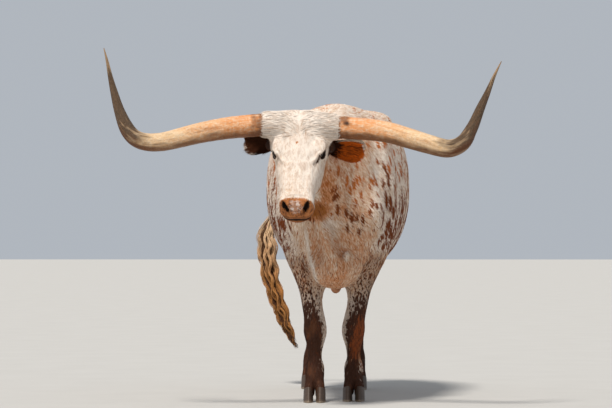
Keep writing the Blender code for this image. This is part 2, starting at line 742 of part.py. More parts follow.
def make_leg(flesh, name, rows, planes, place):
    reach = np.array([row[:3] for row in rows])
    low = reach.min(axis=0) - (0.24, 0.36, 0)
    high = reach.max(axis=0) + (0.24, 0.30, 0.03)
    low[2] = 0.025
    leg = skinned(name, flesh, low, high, 0.0085, TRIANGLES["leg"])
    cut_by(leg, planes + [coronet_plane(place)], -GAP / 2)
    for sign in SIDES.values():
        subtract(leg, dewclaw("dewclaw_socket", place, sign, PLUG_GAP))
    return leg


def make_legs(flesh):
    for side in SIDES:
        fore, hind = FRONT_FEET[side], HIND_FEET[side]
        yield make_leg(flesh, "foreleg_" + side, foreleg_rows(side), foreleg_planes(side), fore)
        yield make_leg(flesh, "hindleg_" + side, hindleg_rows(side), hindleg_planes(side), hind)


def ring_frame(points, i, sideways):
    """Directions across a path at one of its points."""
    before, after = points[max(i - 1, 0)], points[min(i + 1, len(points) - 1)]
    along = unit(after - before)
    side = unit(sideways - along * (np.array(sideways) @ along))
    return side, np.cross(along, side), along


def swept(name, rows, sides, grow=0.0, sideways=(1, 0, 0)):
    """A closed solid along a path: rows of x, y, z, half width and half depth, each grown by grow."""
    rows = np.array(rows, float)
    points, faces = [], []
    for i, row in enumerate(rows):
        side, depth, along = ring_frame(rows[:, :3], i, np.array(sideways, float))
        shift = along * grow * ((i == len(rows) - 1) - (i == 0))
        for step in range(sides):
            angle = math.tau * step / sides
            outwards = side * (row[3] + grow) * math.cos(angle) + depth * (row[4] + grow) * math.sin(angle)
            points.append(row[:3] + shift + outwards)
    for i in range(len(rows) - 1):
        for step in range(sides):
            a, b = i * sides + step, i * sides + (step + 1) % sides
            faces.append((a, b, b + sides, a + sides))
    faces.append(tuple(reversed(range(sides))))
    faces.append(tuple(range(len(points) - sides, len(points))))
    return mesh_object(name, points, faces)


# Each horn's path by the horns' axis: out, up and forward, with its radius. The two differ as in life.
HORN_ROWS = {
    "right": [
        (HORN_ROOT_OUT, 0.000, 0.000, HORN_BASE_RADIUS),
        (0.175, 0.000, 0.004, HORN_BASE_RADIUS),
        (0.259, -0.010, 0.022, 0.0530),
        (0.345, -0.024, 0.046, 0.0515),
        (0.444, -0.045, 0.076, 0.0490),
        (0.555, -0.077, 0.104, 0.0460),
        (0.645, -0.100, 0.118, 0.0435),
        (0.714, -0.102, 0.120, 0.0415),
        (0.770, -0.082, 0.113, 0.0385),
        (0.813, -0.035, 0.098, 0.0345),
        (0.850, 0.040, 0.068, 0.0260),
        (0.882, 0.124, 0.030, 0.0190),
        (0.908, 0.202, -0.004, 0.0125),
        (0.931, 0.280, -0.034, 0.0070),
        (0.951, 0.341, -0.052, 0.0022),
    ],
    "left": [
        (HORN_ROOT_OUT, 0.000, 0.000, HORN_BASE_RADIUS),
        (0.205, 0.001, 0.004, HORN_BASE_RADIUS),
        (0.331, -0.006, 0.030, 0.0515),
        (0.425, -0.018, 0.056, 0.0495),
        (0.510, -0.041, 0.082, 0.0480),
        (0.599, -0.064, 0.104, 0.0455),
        (0.687, -0.084, 0.116, 0.0430),
        (0.737, -0.074, 0.116, 0.0400),
        (0.773, -0.046, 0.110, 0.0365),
        (0.797, -0.002, 0.096, 0.0305),
        (0.817, 0.042, 0.080, 0.0265),
        (0.841, 0.110, 0.052, 0.0215),
        (0.872, 0.188, 0.018, 0.0145),
        (0.901, 0.268, -0.016, 0.0080),
        (0.932, 0.339, -0.044, 0.0022),
    ],
}
HORN_SIDES = 12
HORN_SOCKET_ROWS = 5
TAIL_SIDES = 10


def horn(side, grow=0.0, rows_kept=None):
    sign = SIDES[side]
    rows = []
    for out, up, forward, radius in flowing(HORN_ROWS[side], 2)[:rows_kept]:
        rows.append((*by_horns(sign * out, up, forward), radius, radius * 0.97))
    return swept("horn_" + side, rows, HORN_SIDES, grow, sideways=(0, 0, 1))


def eyeball(name, sign, radius):
    obj = mesh_object(name, [], [])
    gaze = Vector(eye_gaze(sign)).to_track_quat("Z", "Y").to_matrix().to_4x4()

    def work(net):
        bmesh.ops.create_uvsphere(net, u_segments=14, v_segments=9, radius=radius)
        bmesh.ops.transform(net, matrix=Matrix.Translation(eye_centre(sign)) @ gaze, verts=net.verts)

    edited(obj, work)
    return obj


def ear_axes(sign):
    """Along the ear, across it, and out of its cup, in the model's frame."""
    root, pointing = ear_root(sign)
    along = unit(by_horns(*pointing) - HORN_AXIS)
    facing = unit(by_horns(0.20 * sign, -0.22, 1) - HORN_AXIS)
    cup = unit(facing - along * (facing @ along))
    return np.array(by_horns(*root)), along, np.cross(along, cup), cup


def ear_plug(name, sign):
    """The ear's root, sunk in the head."""
    root, along, across, cup = ear_axes(sign)
    rows = [(*(root + along * at), radius, radius) for at, radius in ((-0.034, 0.020), (-0.006, 0.021))]
    return swept(name, rows, 12, sideways=across)


def ear_arc(sign, share, offset, reverse=False):
    """One arc across an ear, offset outwards from the middle of its skin. Share runs from root to tip."""
    root, along, across, cup = ear_axes(sign)
    opened = max(share, 0)
    half = EAR_HALF_WIDTH * (0.42 + 1.30 * opened - 0.36 * opened**2) * math.sqrt(max(1 - opened**3.2, 0.004))
    half = min(half, EAR_HALF_WIDTH * 1.02)
    spread = 2.40 - 1.55 * opened**0.5
    middle = half / math.sin(min(spread, math.pi / 2))
    radius = middle + offset
    centre = root + along * (EAR_LENGTH * share - 0.012) + cup * (middle * 0.86 - 0.018 - 0.014 * opened)
    angles = [spread * (2 * step / EAR_STEPS - 1) for step in range(EAR_STEPS + 1)]
    arc = [centre + across * radius * math.sin(angle) - cup * radius * math.cos(angle) for angle in angles]
    return arc[::-1] if reverse else arc


EAR_STEPS = 8
EAR_RINGS = 9


def tubular(name, rings):
    """A closed solid through rings of points, all of one length, with flat ends."""
    loop = len(rings[0])
    faces = [tuple(range(loop)), tuple(reversed(range(len(rings) * loop - loop, len(rings) * loop)))]
    for ring in range(len(rings) - 1):
        for step in range(loop):
            a, b = ring * loop + step, ring * loop + (step + 1) % loop
            faces.append((a, a + loop, b + loop, b))
    obj = mesh_object(name, [point for ring in rings for point in ring], faces)

    def tidy(net):
        bmesh.ops.triangulate(net, faces=net.faces[:])
        bmesh.ops.recalc_face_normals(net, faces=net.faces[:])

    edited(obj, tidy)
    return obj


def ear(side):
    """A leaf of skin rolled into a cup: nearly a tube at the root, open and flat towards the tip."""
    sign = SIDES[side]
    rings = []
    for ring in range(EAR_RINGS):
        share = ring / (EAR_RINGS - 1)
        skin = EAR_SKIN * (1 - 0.55 * share)
        rings.append(ear_arc(sign, share, skin / 2) + ear_arc(sign, share, -skin / 2, reverse=True))
    return fused("ear_" + side, [tubular("leaf", rings), ear_plug("plug", sign)])


def ear_socket(sign):
    """The room that an ear's root takes from the head."""
    rings = [ear_arc(sign, share, EAR_SKIN / 2 + PLUG_GAP) for share in (-0.003, 0.125, 0.25, 0.375)]
    plug = ear_plug("socket_plug", sign)
    return fused("ear_socket", [tubular("socket_leaf", rings), grown(plug, PLUG_GAP)])


def grown(obj, amount):
    """Moves a convex solid's skin outwards."""

    def work(net):
        net.normal_update()
        moves = [vertex.normal * amount * vertex.calc_shell_factor() for vertex in net.verts]
        for vertex, move in zip(net.verts, moves):
            vertex.co += move

    edited(obj, work)
    return obj


def claw(name, place, sign):
    """One half of a cloven hoof: a wedge with a sloping front wall, a flat sole and a flatter inner side."""
    across, along = place
    levels = [(0.0, 0.068, 0.0275, -0.020), (0.45, 0.060, 0.0270, -0.009), (1.0, 0.050, 0.0258, 0.004)]
    corners = 16
    points, faces = [], []
    for share, half_length, half_width, ahead in levels:
        for corner in range(corners):
            angle = math.tau * corner / corners
            outward = math.sin(angle) * (0.78 if math.sin(angle) < 0 else 1.0)
            pinch = 1 - 0.30 * max(-math.cos(angle), 0) ** 2
            y = half_length * math.cos(angle) + ahead
            top = CORONET_HEIGHT - CORONET_SLOPE * y - GAP * 1.1
            points.append((
                across + sign * (TOE_SPREAD + half_width * outward * pinch),
                along - HOOF_FORWARD + y,
                top * share,
            ))
    for level in range(len(levels) - 1):
        for corner in range(corners):
            a, b = level * corners + corner, level * corners + (corner + 1) % corners
            faces.append((a, b, b + corners, a + corners))
    faces.append(tuple(reversed(range(corners))))
    faces.append(tuple(range(len(points) - corners, len(points))))
    obj = mesh_object(name, points, faces)
    edited(obj, lambda net: bmesh.ops.recalc_face_normals(net, faces=net.faces[:]))
    return obj


def dewclaw(name, place, sign, grow=0.0):
    """One of the two small horny knobs behind a fetlock."""
    across, along = place
    rows = [
        (across + sign * 0.018, along + 0.010, 0.136, 0.011, 0.010),
        (across + sign * 0.022, along + 0.030, 0.126, 0.0135, 0.0125),
        (across + sign * 0.024, along + 0.040, 0.117, 0.012, 0.010),
        (across + sign * 0.025, along + 0.045, 0.110, 0.006, 0.005),
    ]
    return swept(name, rows, 8, grow)


def make_hooves():
    for foot, place in feet():
        for part, sign in (("a", -1), ("b", 1)):
            yield claw(f"claw_{part}_{foot}", place, sign)
            yield dewclaw(f"dewclaw_{part}_{foot}", place, sign)


TAIL_PATH = [
    (0.000, 1.375, 1.410, 0.032, 0.030),
    (-0.012, 1.452, 1.385, 0.033, 0.031),
    (-0.060, 1.515, 1.300, 0.029, 0.027),
    (-0.144, 1.560, 1.185, 0.025, 0.024),
    (-0.249, 1.585, 1.070, 0.022, 0.021),
    (-0.344, 1.590, 0.955, 0.020, 0.019),
    (-0.398, 1.585, 0.865, 0.018, 0.018),
    (-0.406, 1.580, 0.780, 0.030, 0.026),
    (-0.398, 1.575, 0.690, 0.036, 0.030),
    (-0.386, 1.570, 0.600, 0.035, 0.028),
    (-0.362, 1.565, 0.510, 0.032, 0.026),
    (-0.332, 1.562, 0.420, 0.028, 0.022),
    (-0.299, 1.560, 0.330, 0.021, 0.016),
    (-0.258, 1.558, 0.245, 0.011, 0.009),
    (-0.230, 1.556, 0.190, 0.003, 0.003),
]
TAIL_STEPS = 3
TAIL_DOCK_END = 6 * TAIL_STEPS + 1


def tail_rows(first, last):
    return flowing(TAIL_PATH, TAIL_STEPS)[first:last]


def tail_switch():
    """The long hair of the tail: a tapered core with flat, wavy locks that grow out of it down its length."""
    path = flowing(TAIL_PATH, TAIL_STEPS)
    core = swept("tail_switch", path[TAIL_DOCK_END - 2 : -2], 8)
    dock_end, before = path[TAIL_DOCK_END - 1, :3], path[TAIL_DOCK_END - 2, :3]
    cut_by(core, [(dock_end, before - dock_end)], -GAP)
    pieces = [core]
    draw = random.Random(11)
    lengths = np.concatenate([[0], np.cumsum(np.linalg.norm(np.diff(path[:, :3], axis=0), axis=1))])

    def at(distance, columns=slice(0, 3)):
        return np.array([np.interp(distance, lengths, column) for column in path[:, columns].T])

    begin, end = lengths[TAIL_DOCK_END] + 0.02, lengths[-1]
    locks, rings = 15, 7
    for lock in range(locks):
        share = lock / (locks - 1)
        root = begin + 0.66 * (end - begin) * share
        length = min(draw.uniform(0.24, 0.34), end - root + draw.uniform(-0.02, 0.02))
        angle = lock * 2.4 + draw.uniform(-0.3, 0.3)
        outward = 1.30 * draw.uniform(0.85, 1.15)
        phase = draw.uniform(0, math.tau)
        rows = []
        for ring in range(rings):
            along = ring / (rings - 1)
            distance = root + length * along
            spot, (wide, deep) = at(distance), at(distance, slice(3, 5))
            ahead = unit(at(distance + 0.02) - at(distance - 0.02))
            side = unit(np.cross(ahead, (0, 1, 0)))
            depth = np.cross(ahead, side)
            lift = outward * math.sin(math.pi * min(0.10 + along * 0.75, 1)) ** 0.6
            wave = 0.006 * math.sin(phase + 10 * along)
            place = spot + side * (math.cos(angle) * wide * lift + wave)
            place = place + depth * math.sin(angle) * deep * lift
            half_width = 0.0135 * (1 - 0.2 * share) * math.sin(math.pi * (0.22 + 0.72 * along)) + 0.001
            rows.append((*place, half_width, half_width * 0.42 + 0.0004))
        across = (math.cos(angle + 1.57), math.sin(angle + 1.57), 0.1)
        pieces.append(swept(f"lock_{lock}", rows, 4, sideways=across))
    return fused("tail_switch", pieces)


def finish(name, colour, roughness):
    material = bpy.data.materials.new(name)
    material.use_nodes = True
    shader = material.node_tree.nodes["Principled BSDF"]
    shader.inputs["Base Color"].default_value = (*colour, 1)
    shader.inputs["Roughness"].default_value = roughness
    shader.inputs["Metallic"].default_value = 0
    material.diffuse_color = (*colour, 1)
    return material


FINISHES = {
    "coat": ((0.80, 0.72, 0.64), 0.75),
    "horn": ((0.62, 0.43, 0.26), 0.45),
    "eye": ((0.03, 0.02, 0.015), 0.08),
    "hoof": ((0.10, 0.07, 0.055), 0.55),
    "tail_hair": ((0.50, 0.32, 0.18), 0.70),
    "ear": ((0.45, 0.20, 0.10), 0.75),
}


def finish_of(name):
    starts = {"dewclaw": "hoof", "claw": "hoof", "tail_switch": "tail_hair"}
    starts.update({"horn": "horn", "eye": "eye", "ear": "ear"})
    for start, slot in starts.items():
        if name.startswith(start):
            return slot
    return "coat"


def make_steer():
    flesh = steer_flesh()
    nodes = [make_torso(flesh), make_neck(flesh), make_head(flesh), *make_legs(flesh)]
    nodes += [horn(side) for side in SIDES] + [ear(side) for side in SIDES]
    nodes += [eyeball("eye_" + side, sign, EYE_RADIUS) for side, sign in SIDES.items()]
    nodes += list(make_hooves())
    nodes += [swept("tail_dock", tail_rows(0, TAIL_DOCK_END), TAIL_SIDES), tail_switch()]
    materials = {name: finish(name, *look) for name, look in FINISHES.items()}
    base = bpy.data.objects.new("longhorn", None)
    bpy.context.scene.collection.objects.link(base)
    base.location = ORIGIN_SHIFT
    for node in nodes:
        node.data.materials.clear()
        node.data.materials.append(materials[finish_of(node.name)])
        node.parent = base
        node.data.shade_smooth()
        node.data.set_sharp_from_angle(angle=math.radians(40))


for old in list(bpy.data.objects):
    bpy.data.objects.remove(old)
make_steer()
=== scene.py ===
"""The looks of a texas longhorn steer: one skin over the solids of its flesh, its coat in tufts, horns, ears,
eyes, hooves and tail, in the place that the solids give them.

The skin comes from the same rounded forms as the solids, meshed finer and sunk by the depth of the coat.
"""

import json
import math

import bmesh
import bpy
import numpy as np
from mathutils import Matrix, Vector

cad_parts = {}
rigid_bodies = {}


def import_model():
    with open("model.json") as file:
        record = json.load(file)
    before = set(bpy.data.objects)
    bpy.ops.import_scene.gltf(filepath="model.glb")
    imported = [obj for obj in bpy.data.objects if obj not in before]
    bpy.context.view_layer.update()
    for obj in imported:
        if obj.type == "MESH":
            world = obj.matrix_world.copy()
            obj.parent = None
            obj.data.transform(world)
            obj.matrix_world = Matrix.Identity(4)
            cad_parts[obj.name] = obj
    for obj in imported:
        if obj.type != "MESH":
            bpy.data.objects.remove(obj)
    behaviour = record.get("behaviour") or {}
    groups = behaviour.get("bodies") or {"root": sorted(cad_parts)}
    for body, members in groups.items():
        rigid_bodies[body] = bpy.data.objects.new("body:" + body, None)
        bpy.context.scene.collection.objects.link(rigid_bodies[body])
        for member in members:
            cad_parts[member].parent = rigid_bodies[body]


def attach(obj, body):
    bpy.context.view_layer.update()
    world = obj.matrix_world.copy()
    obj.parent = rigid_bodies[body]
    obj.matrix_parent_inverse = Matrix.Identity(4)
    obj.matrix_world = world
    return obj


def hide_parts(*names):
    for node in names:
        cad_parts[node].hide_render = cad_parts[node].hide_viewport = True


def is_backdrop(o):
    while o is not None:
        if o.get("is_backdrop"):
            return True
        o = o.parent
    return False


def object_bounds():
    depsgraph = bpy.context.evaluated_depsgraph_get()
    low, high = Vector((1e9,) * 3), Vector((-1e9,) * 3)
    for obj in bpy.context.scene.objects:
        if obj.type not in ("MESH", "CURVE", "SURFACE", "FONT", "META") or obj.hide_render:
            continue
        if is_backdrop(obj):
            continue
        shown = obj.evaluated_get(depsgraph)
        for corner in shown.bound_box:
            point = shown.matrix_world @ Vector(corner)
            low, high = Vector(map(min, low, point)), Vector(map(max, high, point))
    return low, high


# Driving dimensions in metres and degrees. "Along" runs from the nose (-Y) to the tail (+Y), and y = 0
# is the line of the front cannons.
WITHERS_HEIGHT = 1.475
HIP_HEIGHT = 1.500
BRISKET_HEIGHT = 0.565
BARREL_HALF_WIDTH = 0.368
CHEST_FRONT = -0.38
RUMP_END = 1.45
ELBOW_HEIGHT = 0.78
KNEE_HEIGHT = 0.345
HOCK_HEIGHT = 0.51
FETLOCK_HEIGHT = 0.165
HEAD_LENGTH = 0.512
HEAD_PITCH = 65.0
HEAD_YAW = -5.0
HEAD_ROLL = 0.3
POLL = Vector((-0.157, -0.663, 1.398))
HORN_YAW = -2.0
HORN_ROLL = 2.1
HORN_AXIS = Vector((-0.157, -0.640, 1.327))
HORN_ROOT_OUT = 0.130
HORN_BASE_RADIUS = 0.0535
EYE_RADIUS = 0.0205
EAR_LENGTH = 0.185
EAR_HALF_WIDTH = 0.052
EAR_SKIN = 0.006
EYE_HALF_LENGTH = 0.0205
EYE_HALF_HEIGHT = 0.0113
TOE_SPREAD = 0.0275
CORONET_SLOPE = 0.29
CORONET_HEIGHT = 0.063
HOOF_FORWARD = 0.045
FRONT_FEET = {"right": (-0.103, -0.05), "left": (0.087, 0.05)}
HIND_FEET = {"right": (-0.150, 1.26), "left": (0.092, 1.18)}
# Moves the finished model so that its bounding box stands centred over the origin.
ORIGIN_SHIFT = Vector((0.152, -0.388, 0.0))

SIDES = {"right": -1, "left": 1}


def flowing(rows, per_span):
    """Rows of numbers, with per_span smooth steps through each gap between them."""
    rows = np.array(rows, float)
    ends = np.vstack([2 * rows[0] - rows[1], rows, 2 * rows[-1] - rows[-2]])
    t = np.arange(per_span)[:, None] / per_span
    spans = []
    for a, b, c, d in zip(ends, ends[1:], ends[2:], ends[3:]):
        cubic = (3 * b - a - 3 * c + d) * t**3
        square = (2 * a - 5 * b + 4 * c - d) * t**2
        spans.append(0.5 * (2 * b + (c - a) * t + square + cubic))
    return np.vstack(spans + [rows[-1:]])


def unit(vector):
    return np.array(vector, float) / np.linalg.norm(vector)


def units(vectors):
    """Each of many vectors at length 1."""
    return vectors / np.maximum(np.linalg.norm(vectors, axis=-1, keepdims=True), 1e-9)


def laid(ways, normals):
    """Ways with what leads out of the surface taken off."""
    return ways - normals * (ways * normals).sum(axis=-1, keepdims=True)


def travelled(path):
    """How far along a path each of its points is."""
    return np.concatenate([[0], np.cumsum(np.linalg.norm(np.diff(path, axis=0), axis=1))])


def turned(yaw, roll):
    return Matrix.Rotation(math.radians(yaw), 3, "Z") @ Matrix.Rotation(math.radians(roll), 3, "Y")


# The head's own directions: down the face, out of it and to the animal's left.
HEAD_TURN = turned(HEAD_YAW, HEAD_ROLL)
HORN_TURN = turned(HORN_YAW, HORN_ROLL)
PITCH = math.radians(HEAD_PITCH)
FACE_DOWN = HEAD_TURN @ Vector((0, -math.cos(PITCH), -math.sin(PITCH)))
FACE_OUT = HEAD_TURN @ Vector((0, -math.sin(PITCH), math.cos(PITCH)))
FACE_SIDE = HEAD_TURN @ Vector((1, 0, 0))


def on_head(side, down, out):
    """A point of the head: sideways, down the face from the poll, and out from the line of the face."""
    return POLL + FACE_SIDE * side + FACE_DOWN * down + FACE_OUT * out


def by_horns(side, up, forward):
    """A point by the horns: sideways, up and forward of the middle of the horns' axis."""
    return HORN_AXIS + HORN_TURN @ Vector((side, -forward, up))


class Ellipsoid:
    """A rounded mass with its own centre, radii and axes."""

    def __init__(self, centre, radii, axes=((1, 0, 0), (0, 1, 0), (0, 0, 1))):
        self.centre = np.array(centre, float)
        self.radii = np.array(radii, float)
        self.axes = np.array([unit(axis) for axis in axes])
        reach = np.abs(self.axes.T) @ self.radii
        self.box = (self.centre - reach, self.centre + reach)

    def distance(self, points):
        local = (points - self.centre) @ self.axes.T / self.radii
        size = np.linalg.norm(local, axis=1)
        slope = np.linalg.norm(local / self.radii, axis=1)
        return size * (size - 1) / np.maximum(slope, 1e-9)


class Tube:
    """A limb along a path: rows of x, y, z, half width (sideways) and half depth (across that)."""

    def __init__(self, rows, per_span=4, sideways=(1, 0, 0)):
        self.rows = flowing(rows, per_span)
        self.sideways = np.array(sideways, float)
        reach = self.rows[:, 3:5].max(axis=1)[:, None]
        self.box = ((self.rows[:, :3] - reach).min(axis=0), (self.rows[:, :3] + reach).max(axis=0))

    def distance(self, points):
        nearest = np.full(len(points), 1e3)
        for start, end in zip(self.rows, self.rows[1:]):
            step = end[:3] - start[:3]
            length = np.linalg.norm(step)
            along = step / length
            side = unit(self.sideways - along * (self.sideways @ along))
            depth = np.cross(along, side)
            offset = points - start[:3]
            travel = offset @ along
            share = np.clip(travel / length, 0, 1)
            half_width = start[3] + (end[3] - start[3]) * share
            half_depth = start[4] + (end[4] - start[4]) * share
            over = (travel - share * length) / np.minimum(half_width, half_depth)
            u = offset @ side / half_width
            v = offset @ depth / half_depth
            size = np.sqrt(u * u + v * v + over * over)
            slope = np.sqrt((u / half_width) ** 2 + (v / half_depth) ** 2 + (over / half_width) ** 2)
            nearest = np.minimum(nearest, size * (size - 1) / np.maximum(slope, 1e-9))
        return nearest


class Bulk:
    """A long mass told by its outline. Rows: along, top, bottom, half width, squareness and top width.

    The axes are along, sideways and up. Squareness 2 is an ellipse and more is boxier; the lower half is
    never squarer than most_square_below. Top width above 0 makes it wider over its middle than under.
    """

    def __init__(self, rows, most_square_below, origin=(0, 0, 0), axes=((0, 1, 0), (1, 0, 0), (0, 0, 1))):
        self.rows = flowing(rows, 6)
        self.most_square_below = most_square_below
        self.origin = np.array(origin, float)
        self.axes = np.array([unit(axis) for axis in axes])
        corners = [
            self.origin + np.array([row[0], sign * row[3] * 1.3, height]) @ self.axes
            for row in self.rows
            for sign in (-1, 1)
            for height in (row[1], row[2])
        ]
        self.box = (np.min(corners, axis=0), np.max(corners, axis=0))

    def distance(self, points):
        along, side, up = ((points - self.origin) @ self.axes.T).T
        stations, *columns = self.rows.T
        top, bottom, half, square, spread = (np.interp(along, stations, column) for column in columns)
        half_height = (top - bottom) / 2
        v = (up - (top + bottom) / 2) / half_height
        square = np.where(v < 0, np.minimum(square, self.most_square_below), square)
        width = half * (1 + spread * np.clip(v, -1, 1))
        size = (np.abs(side / width) ** square + np.abs(v) ** square) ** (1 / square)
        inside = (size - 1) * np.minimum(half, half_height)
        over = np.maximum(stations[0] - along, along - stations[-1])
        return np.maximum(inside, over)


class Flesh:
    """The whole body as forms, each joined to or carved from what came before with a rounded blend."""

    def __init__(self):
        self.steps = []

    def join(self, form, blend):
        self.steps.append((form, blend, 1))

    def carve(self, form, blend):
        self.steps.append((form, blend, -1))

    def distance(self, points, everywhere=False):
        """How far each point is outside the skin. Forms far from it are skipped, unless everywhere is set."""
        result = np.full(len(points), 1e3)
        for form, blend, sign in self.steps:
            low, high = form.box
            margin = blend + 0.05
            near = ((points > low - margin) & (points < high + margin)).all(axis=1) | everywhere
            if not near.any():
                continue
            old = sign * result[near]
            new = form.distance(points[near])
            mix = np.clip(0.5 + 0.5 * (old - new) / blend, 0, 1)
            result[near] = sign * (old + (new - old) * mix - blend * mix * (1 - mix))
        return result


def torso_forms(flesh):
    """Chest, barrel and rump, with the bones that show through them."""
    top, hip, low, half = WITHERS_HEIGHT, HIP_HEIGHT, BRISKET_HEIGHT, BARREL_HALF_WIDTH
    flesh.join(Bulk([
        (CHEST_FRONT, 0.97, 0.87, 0.05, 2.0, 0.0),
        (-0.34, 1.10, 0.73, 0.12, 2.1, 0.0),
        (-0.27, 1.21, low + 0.075, 0.175, 2.1, 0.0),
        (-0.18, 1.31, low + 0.022, 0.212, 2.1, -0.05),
        (-0.06, 1.400, low, 0.248, 2.1, -0.12),
        (0.08, top - 0.020, low + 0.020, 0.283, 2.3, -0.14),
        (0.22, top, low + 0.042, 0.318, 2.4, -0.10),
        (0.40, top - 0.006, low + 0.048, half - 0.022, 2.5, -0.04),
        (0.60, top - 0.010, low + 0.038, half, 2.6, 0.0),
        (0.78, top + 0.002, low + 0.050, half - 0.004, 2.6, 0.02),
        (0.95, hip - 0.004, low + 0.105, 0.335, 2.5, 0.03),
        (1.08, hip, low + 0.180, 0.288, 2.4, 0.04),
        (1.20, hip - 0.014, low + 0.275, 0.245, 2.3, 0.0),
        (1.31, hip - 0.050, low + 0.365, 0.198, 2.3, -0.06),
        (1.40, hip - 0.125, low + 0.455, 0.130, 2.2, -0.10),
        (RUMP_END, hip - 0.220, low + 0.575, 0.060, 2.0, 0.0),
    ], 2.15), 0.01)
    flesh.join(Tube([
        (0, 0.95, hip - 0.050, 0.040, 0.026),
        (0, 1.30, hip - 0.082, 0.036, 0.030),
        (0, RUMP_END - 0.03, hip - 0.118, 0.034, 0.032),
    ]), 0.05)
    flesh.join(Ellipsoid((0, -0.255, low + 0.105), (0.125, 0.135, 0.115)), 0.06)
    flesh.join(Ellipsoid((0, 0.55, low + 0.060), (0.18, 0.30, 0.055)), 0.10)
    flesh.join(Tube([
        (-0.004, 0.500, 0.625, 0.040, 0.045),
        (-0.008, 0.560, 0.580, 0.026, 0.030),
        (-0.010, 0.585, 0.541, 0.019, 0.022),
    ]), 0.04)
    for sign in SIDES.values():
        blade = ((1, 0, 0), (0, 0.94, -0.34), (0, 0.34, 0.94))
        flesh.join(Ellipsoid((sign * 0.195, 0.03, 1.10), (0.082, 0.150, 0.290), blade), 0.08)
        flesh.join(Ellipsoid((sign * 0.165, -0.225, 0.925), (0.070, 0.085, 0.105)), 0.07)
        flesh.join(Ellipsoid((sign * 0.215, 1.02, hip - 0.092), (0.060, 0.085, 0.046)), 0.08)
        flesh.join(Ellipsoid((sign * 0.105, 1.375, hip - 0.205), (0.046, 0.058, 0.060)), 0.06)
        flesh.join(Ellipsoid((sign * 0.150, 1.20, 1.06), (0.115, 0.185, 0.290)), 0.08)
        flesh.join(Ellipsoid((sign * 0.120, 1.325, 1.03), (0.082, 0.085, 0.230)), 0.07)
        flank = [(sign * 0.245, 0.86, 0.86, 0.05, 0.10), (sign * 0.225, 1.00, 0.82, 0.045, 0.08)]
        flesh.join(Tube(flank), 0.10)


def neck_forms(flesh):
    """The neck, bent to the animal's right, and the dewlap that hangs from throat to brisket."""
    flesh.join(Tube([
        (0, 0.10, 1.100, 0.170, 0.325),
        (0, -0.08, 1.108, 0.175, 0.312),
        (-0.018, -0.22, 1.120, 0.158, 0.268),
        (-0.057, -0.35, 1.148, 0.136, 0.215),
        (-0.100, -0.46, 1.185, 0.119, 0.168),
        (-0.135, -0.54, 1.225, 0.107, 0.138),
    ]), 0.09)
    flesh.join(Tube([
        (-0.126, -0.475, 1.055, 0.026, 0.045),
        (-0.100, -0.455, 0.965, 0.023, 0.062),
        (-0.062, -0.420, 0.865, 0.024, 0.074),
        (-0.026, -0.370, 0.765, 0.030, 0.080),
        (0, -0.300, 0.665, 0.042, 0.068),
    ]), 0.05)


def head_forms(flesh):
    """Skull, jaw, cheeks, eyelids, muzzle with its nostrils, and the line of the mouth."""
    axes = (FACE_SIDE, FACE_DOWN, FACE_OUT)
    flesh.join(Bulk([
        (-0.045, -0.100, -0.160, 0.050, 2.2, 0.0),
        (-0.030, -0.052, -0.195, 0.088, 2.2, 0.0),
        (0.000, -0.010, -0.222, 0.112, 2.3, 0.05),
        (0.050, 0.001, -0.243, 0.122, 2.4, 0.10),
        (0.110, 0.001, -0.260, 0.122, 2.4, 0.16),
        (0.170, 0.000, -0.266, 0.114, 2.3, 0.18),
        (0.220, -0.002, -0.254, 0.107, 2.3, 0.18),
        (0.280, -0.006, -0.224, 0.098, 2.4, 0.17),
        (0.340, -0.010, -0.188, 0.090, 2.5, 0.13),
        (0.395, -0.012, -0.162, 0.083, 2.5, 0.07),
        (0.435, -0.014, -0.154, 0.080, 2.5, 0.0),
        (0.462, -0.026, -0.153, 0.079, 2.6, 0.0),
        (0.485, -0.048, -0.152, 0.073, 2.6, 0.0),
        (0.502, -0.070, -0.147, 0.060, 2.5, 0.0),
        (HEAD_LENGTH, -0.088, -0.136, 0.040, 2.3, 0.0),
    ], 2.6, POLL, (FACE_DOWN, FACE_SIDE, FACE_OUT)), 0.045)
    boss = [by_horns(side, 0.004 - 0.02 * abs(side), 0) for side in (-0.150, -0.08, 0, 0.08, 0.150)]
    radii = (0.064, 0.065, 0.060, 0.065, 0.064)
    flesh.join(Tube([(*point, r, r) for point, r in zip(boss, radii)], sideways=FACE_DOWN), 0.035)
    for sign in SIDES.values():
        flesh.join(Ellipsoid(on_head(sign * 0.072, 0.245, -0.150), (0.034, 0.105, 0.085), axes), 0.04)
        flesh.join(Ellipsoid(on_head(sign * 0.098, 0.170, -0.034), (0.030, 0.044, 0.024), axes), 0.025)
        eye, gaze, slit, across = eye_frame(sign)
        flesh.join(Ellipsoid(eye, (0.030, 0.037, 0.030), axes), 0.018)
        flesh.carve(Ellipsoid(eye + 0.022 * gaze, (0.022, 0.0205, 0.0110), (gaze, slit, across)), 0.004)
        flesh.join(Ellipsoid(on_head(sign * 0.046, 0.450, -0.052), (0.031, 0.036, 0.034), axes), 0.02)
        flesh.join(Ellipsoid(on_head(sign * 0.032, 0.468, -0.092), (0.044, 0.036, 0.024), axes), 0.02)
        nostril = on_head(sign * 0.043, 0.484, -0.054)
        flesh.carve(Ellipsoid(nostril, (0.0085, 0.024, 0.028), nostril_axes(sign)), 0.005)
        flesh.join(Tube([(*by_horns(*point), r, r) for point, r in ear_stub(sign)]), 0.03)
    flesh.join(Ellipsoid(on_head(0, 0.466, -0.134), (0.050, 0.042, 0.024), axes), 0.02)
    flesh.carve(Tube([(*point, 0.0052, 0.0052) for point in mouth_line(flesh)], sideways=FACE_OUT), 0.003)


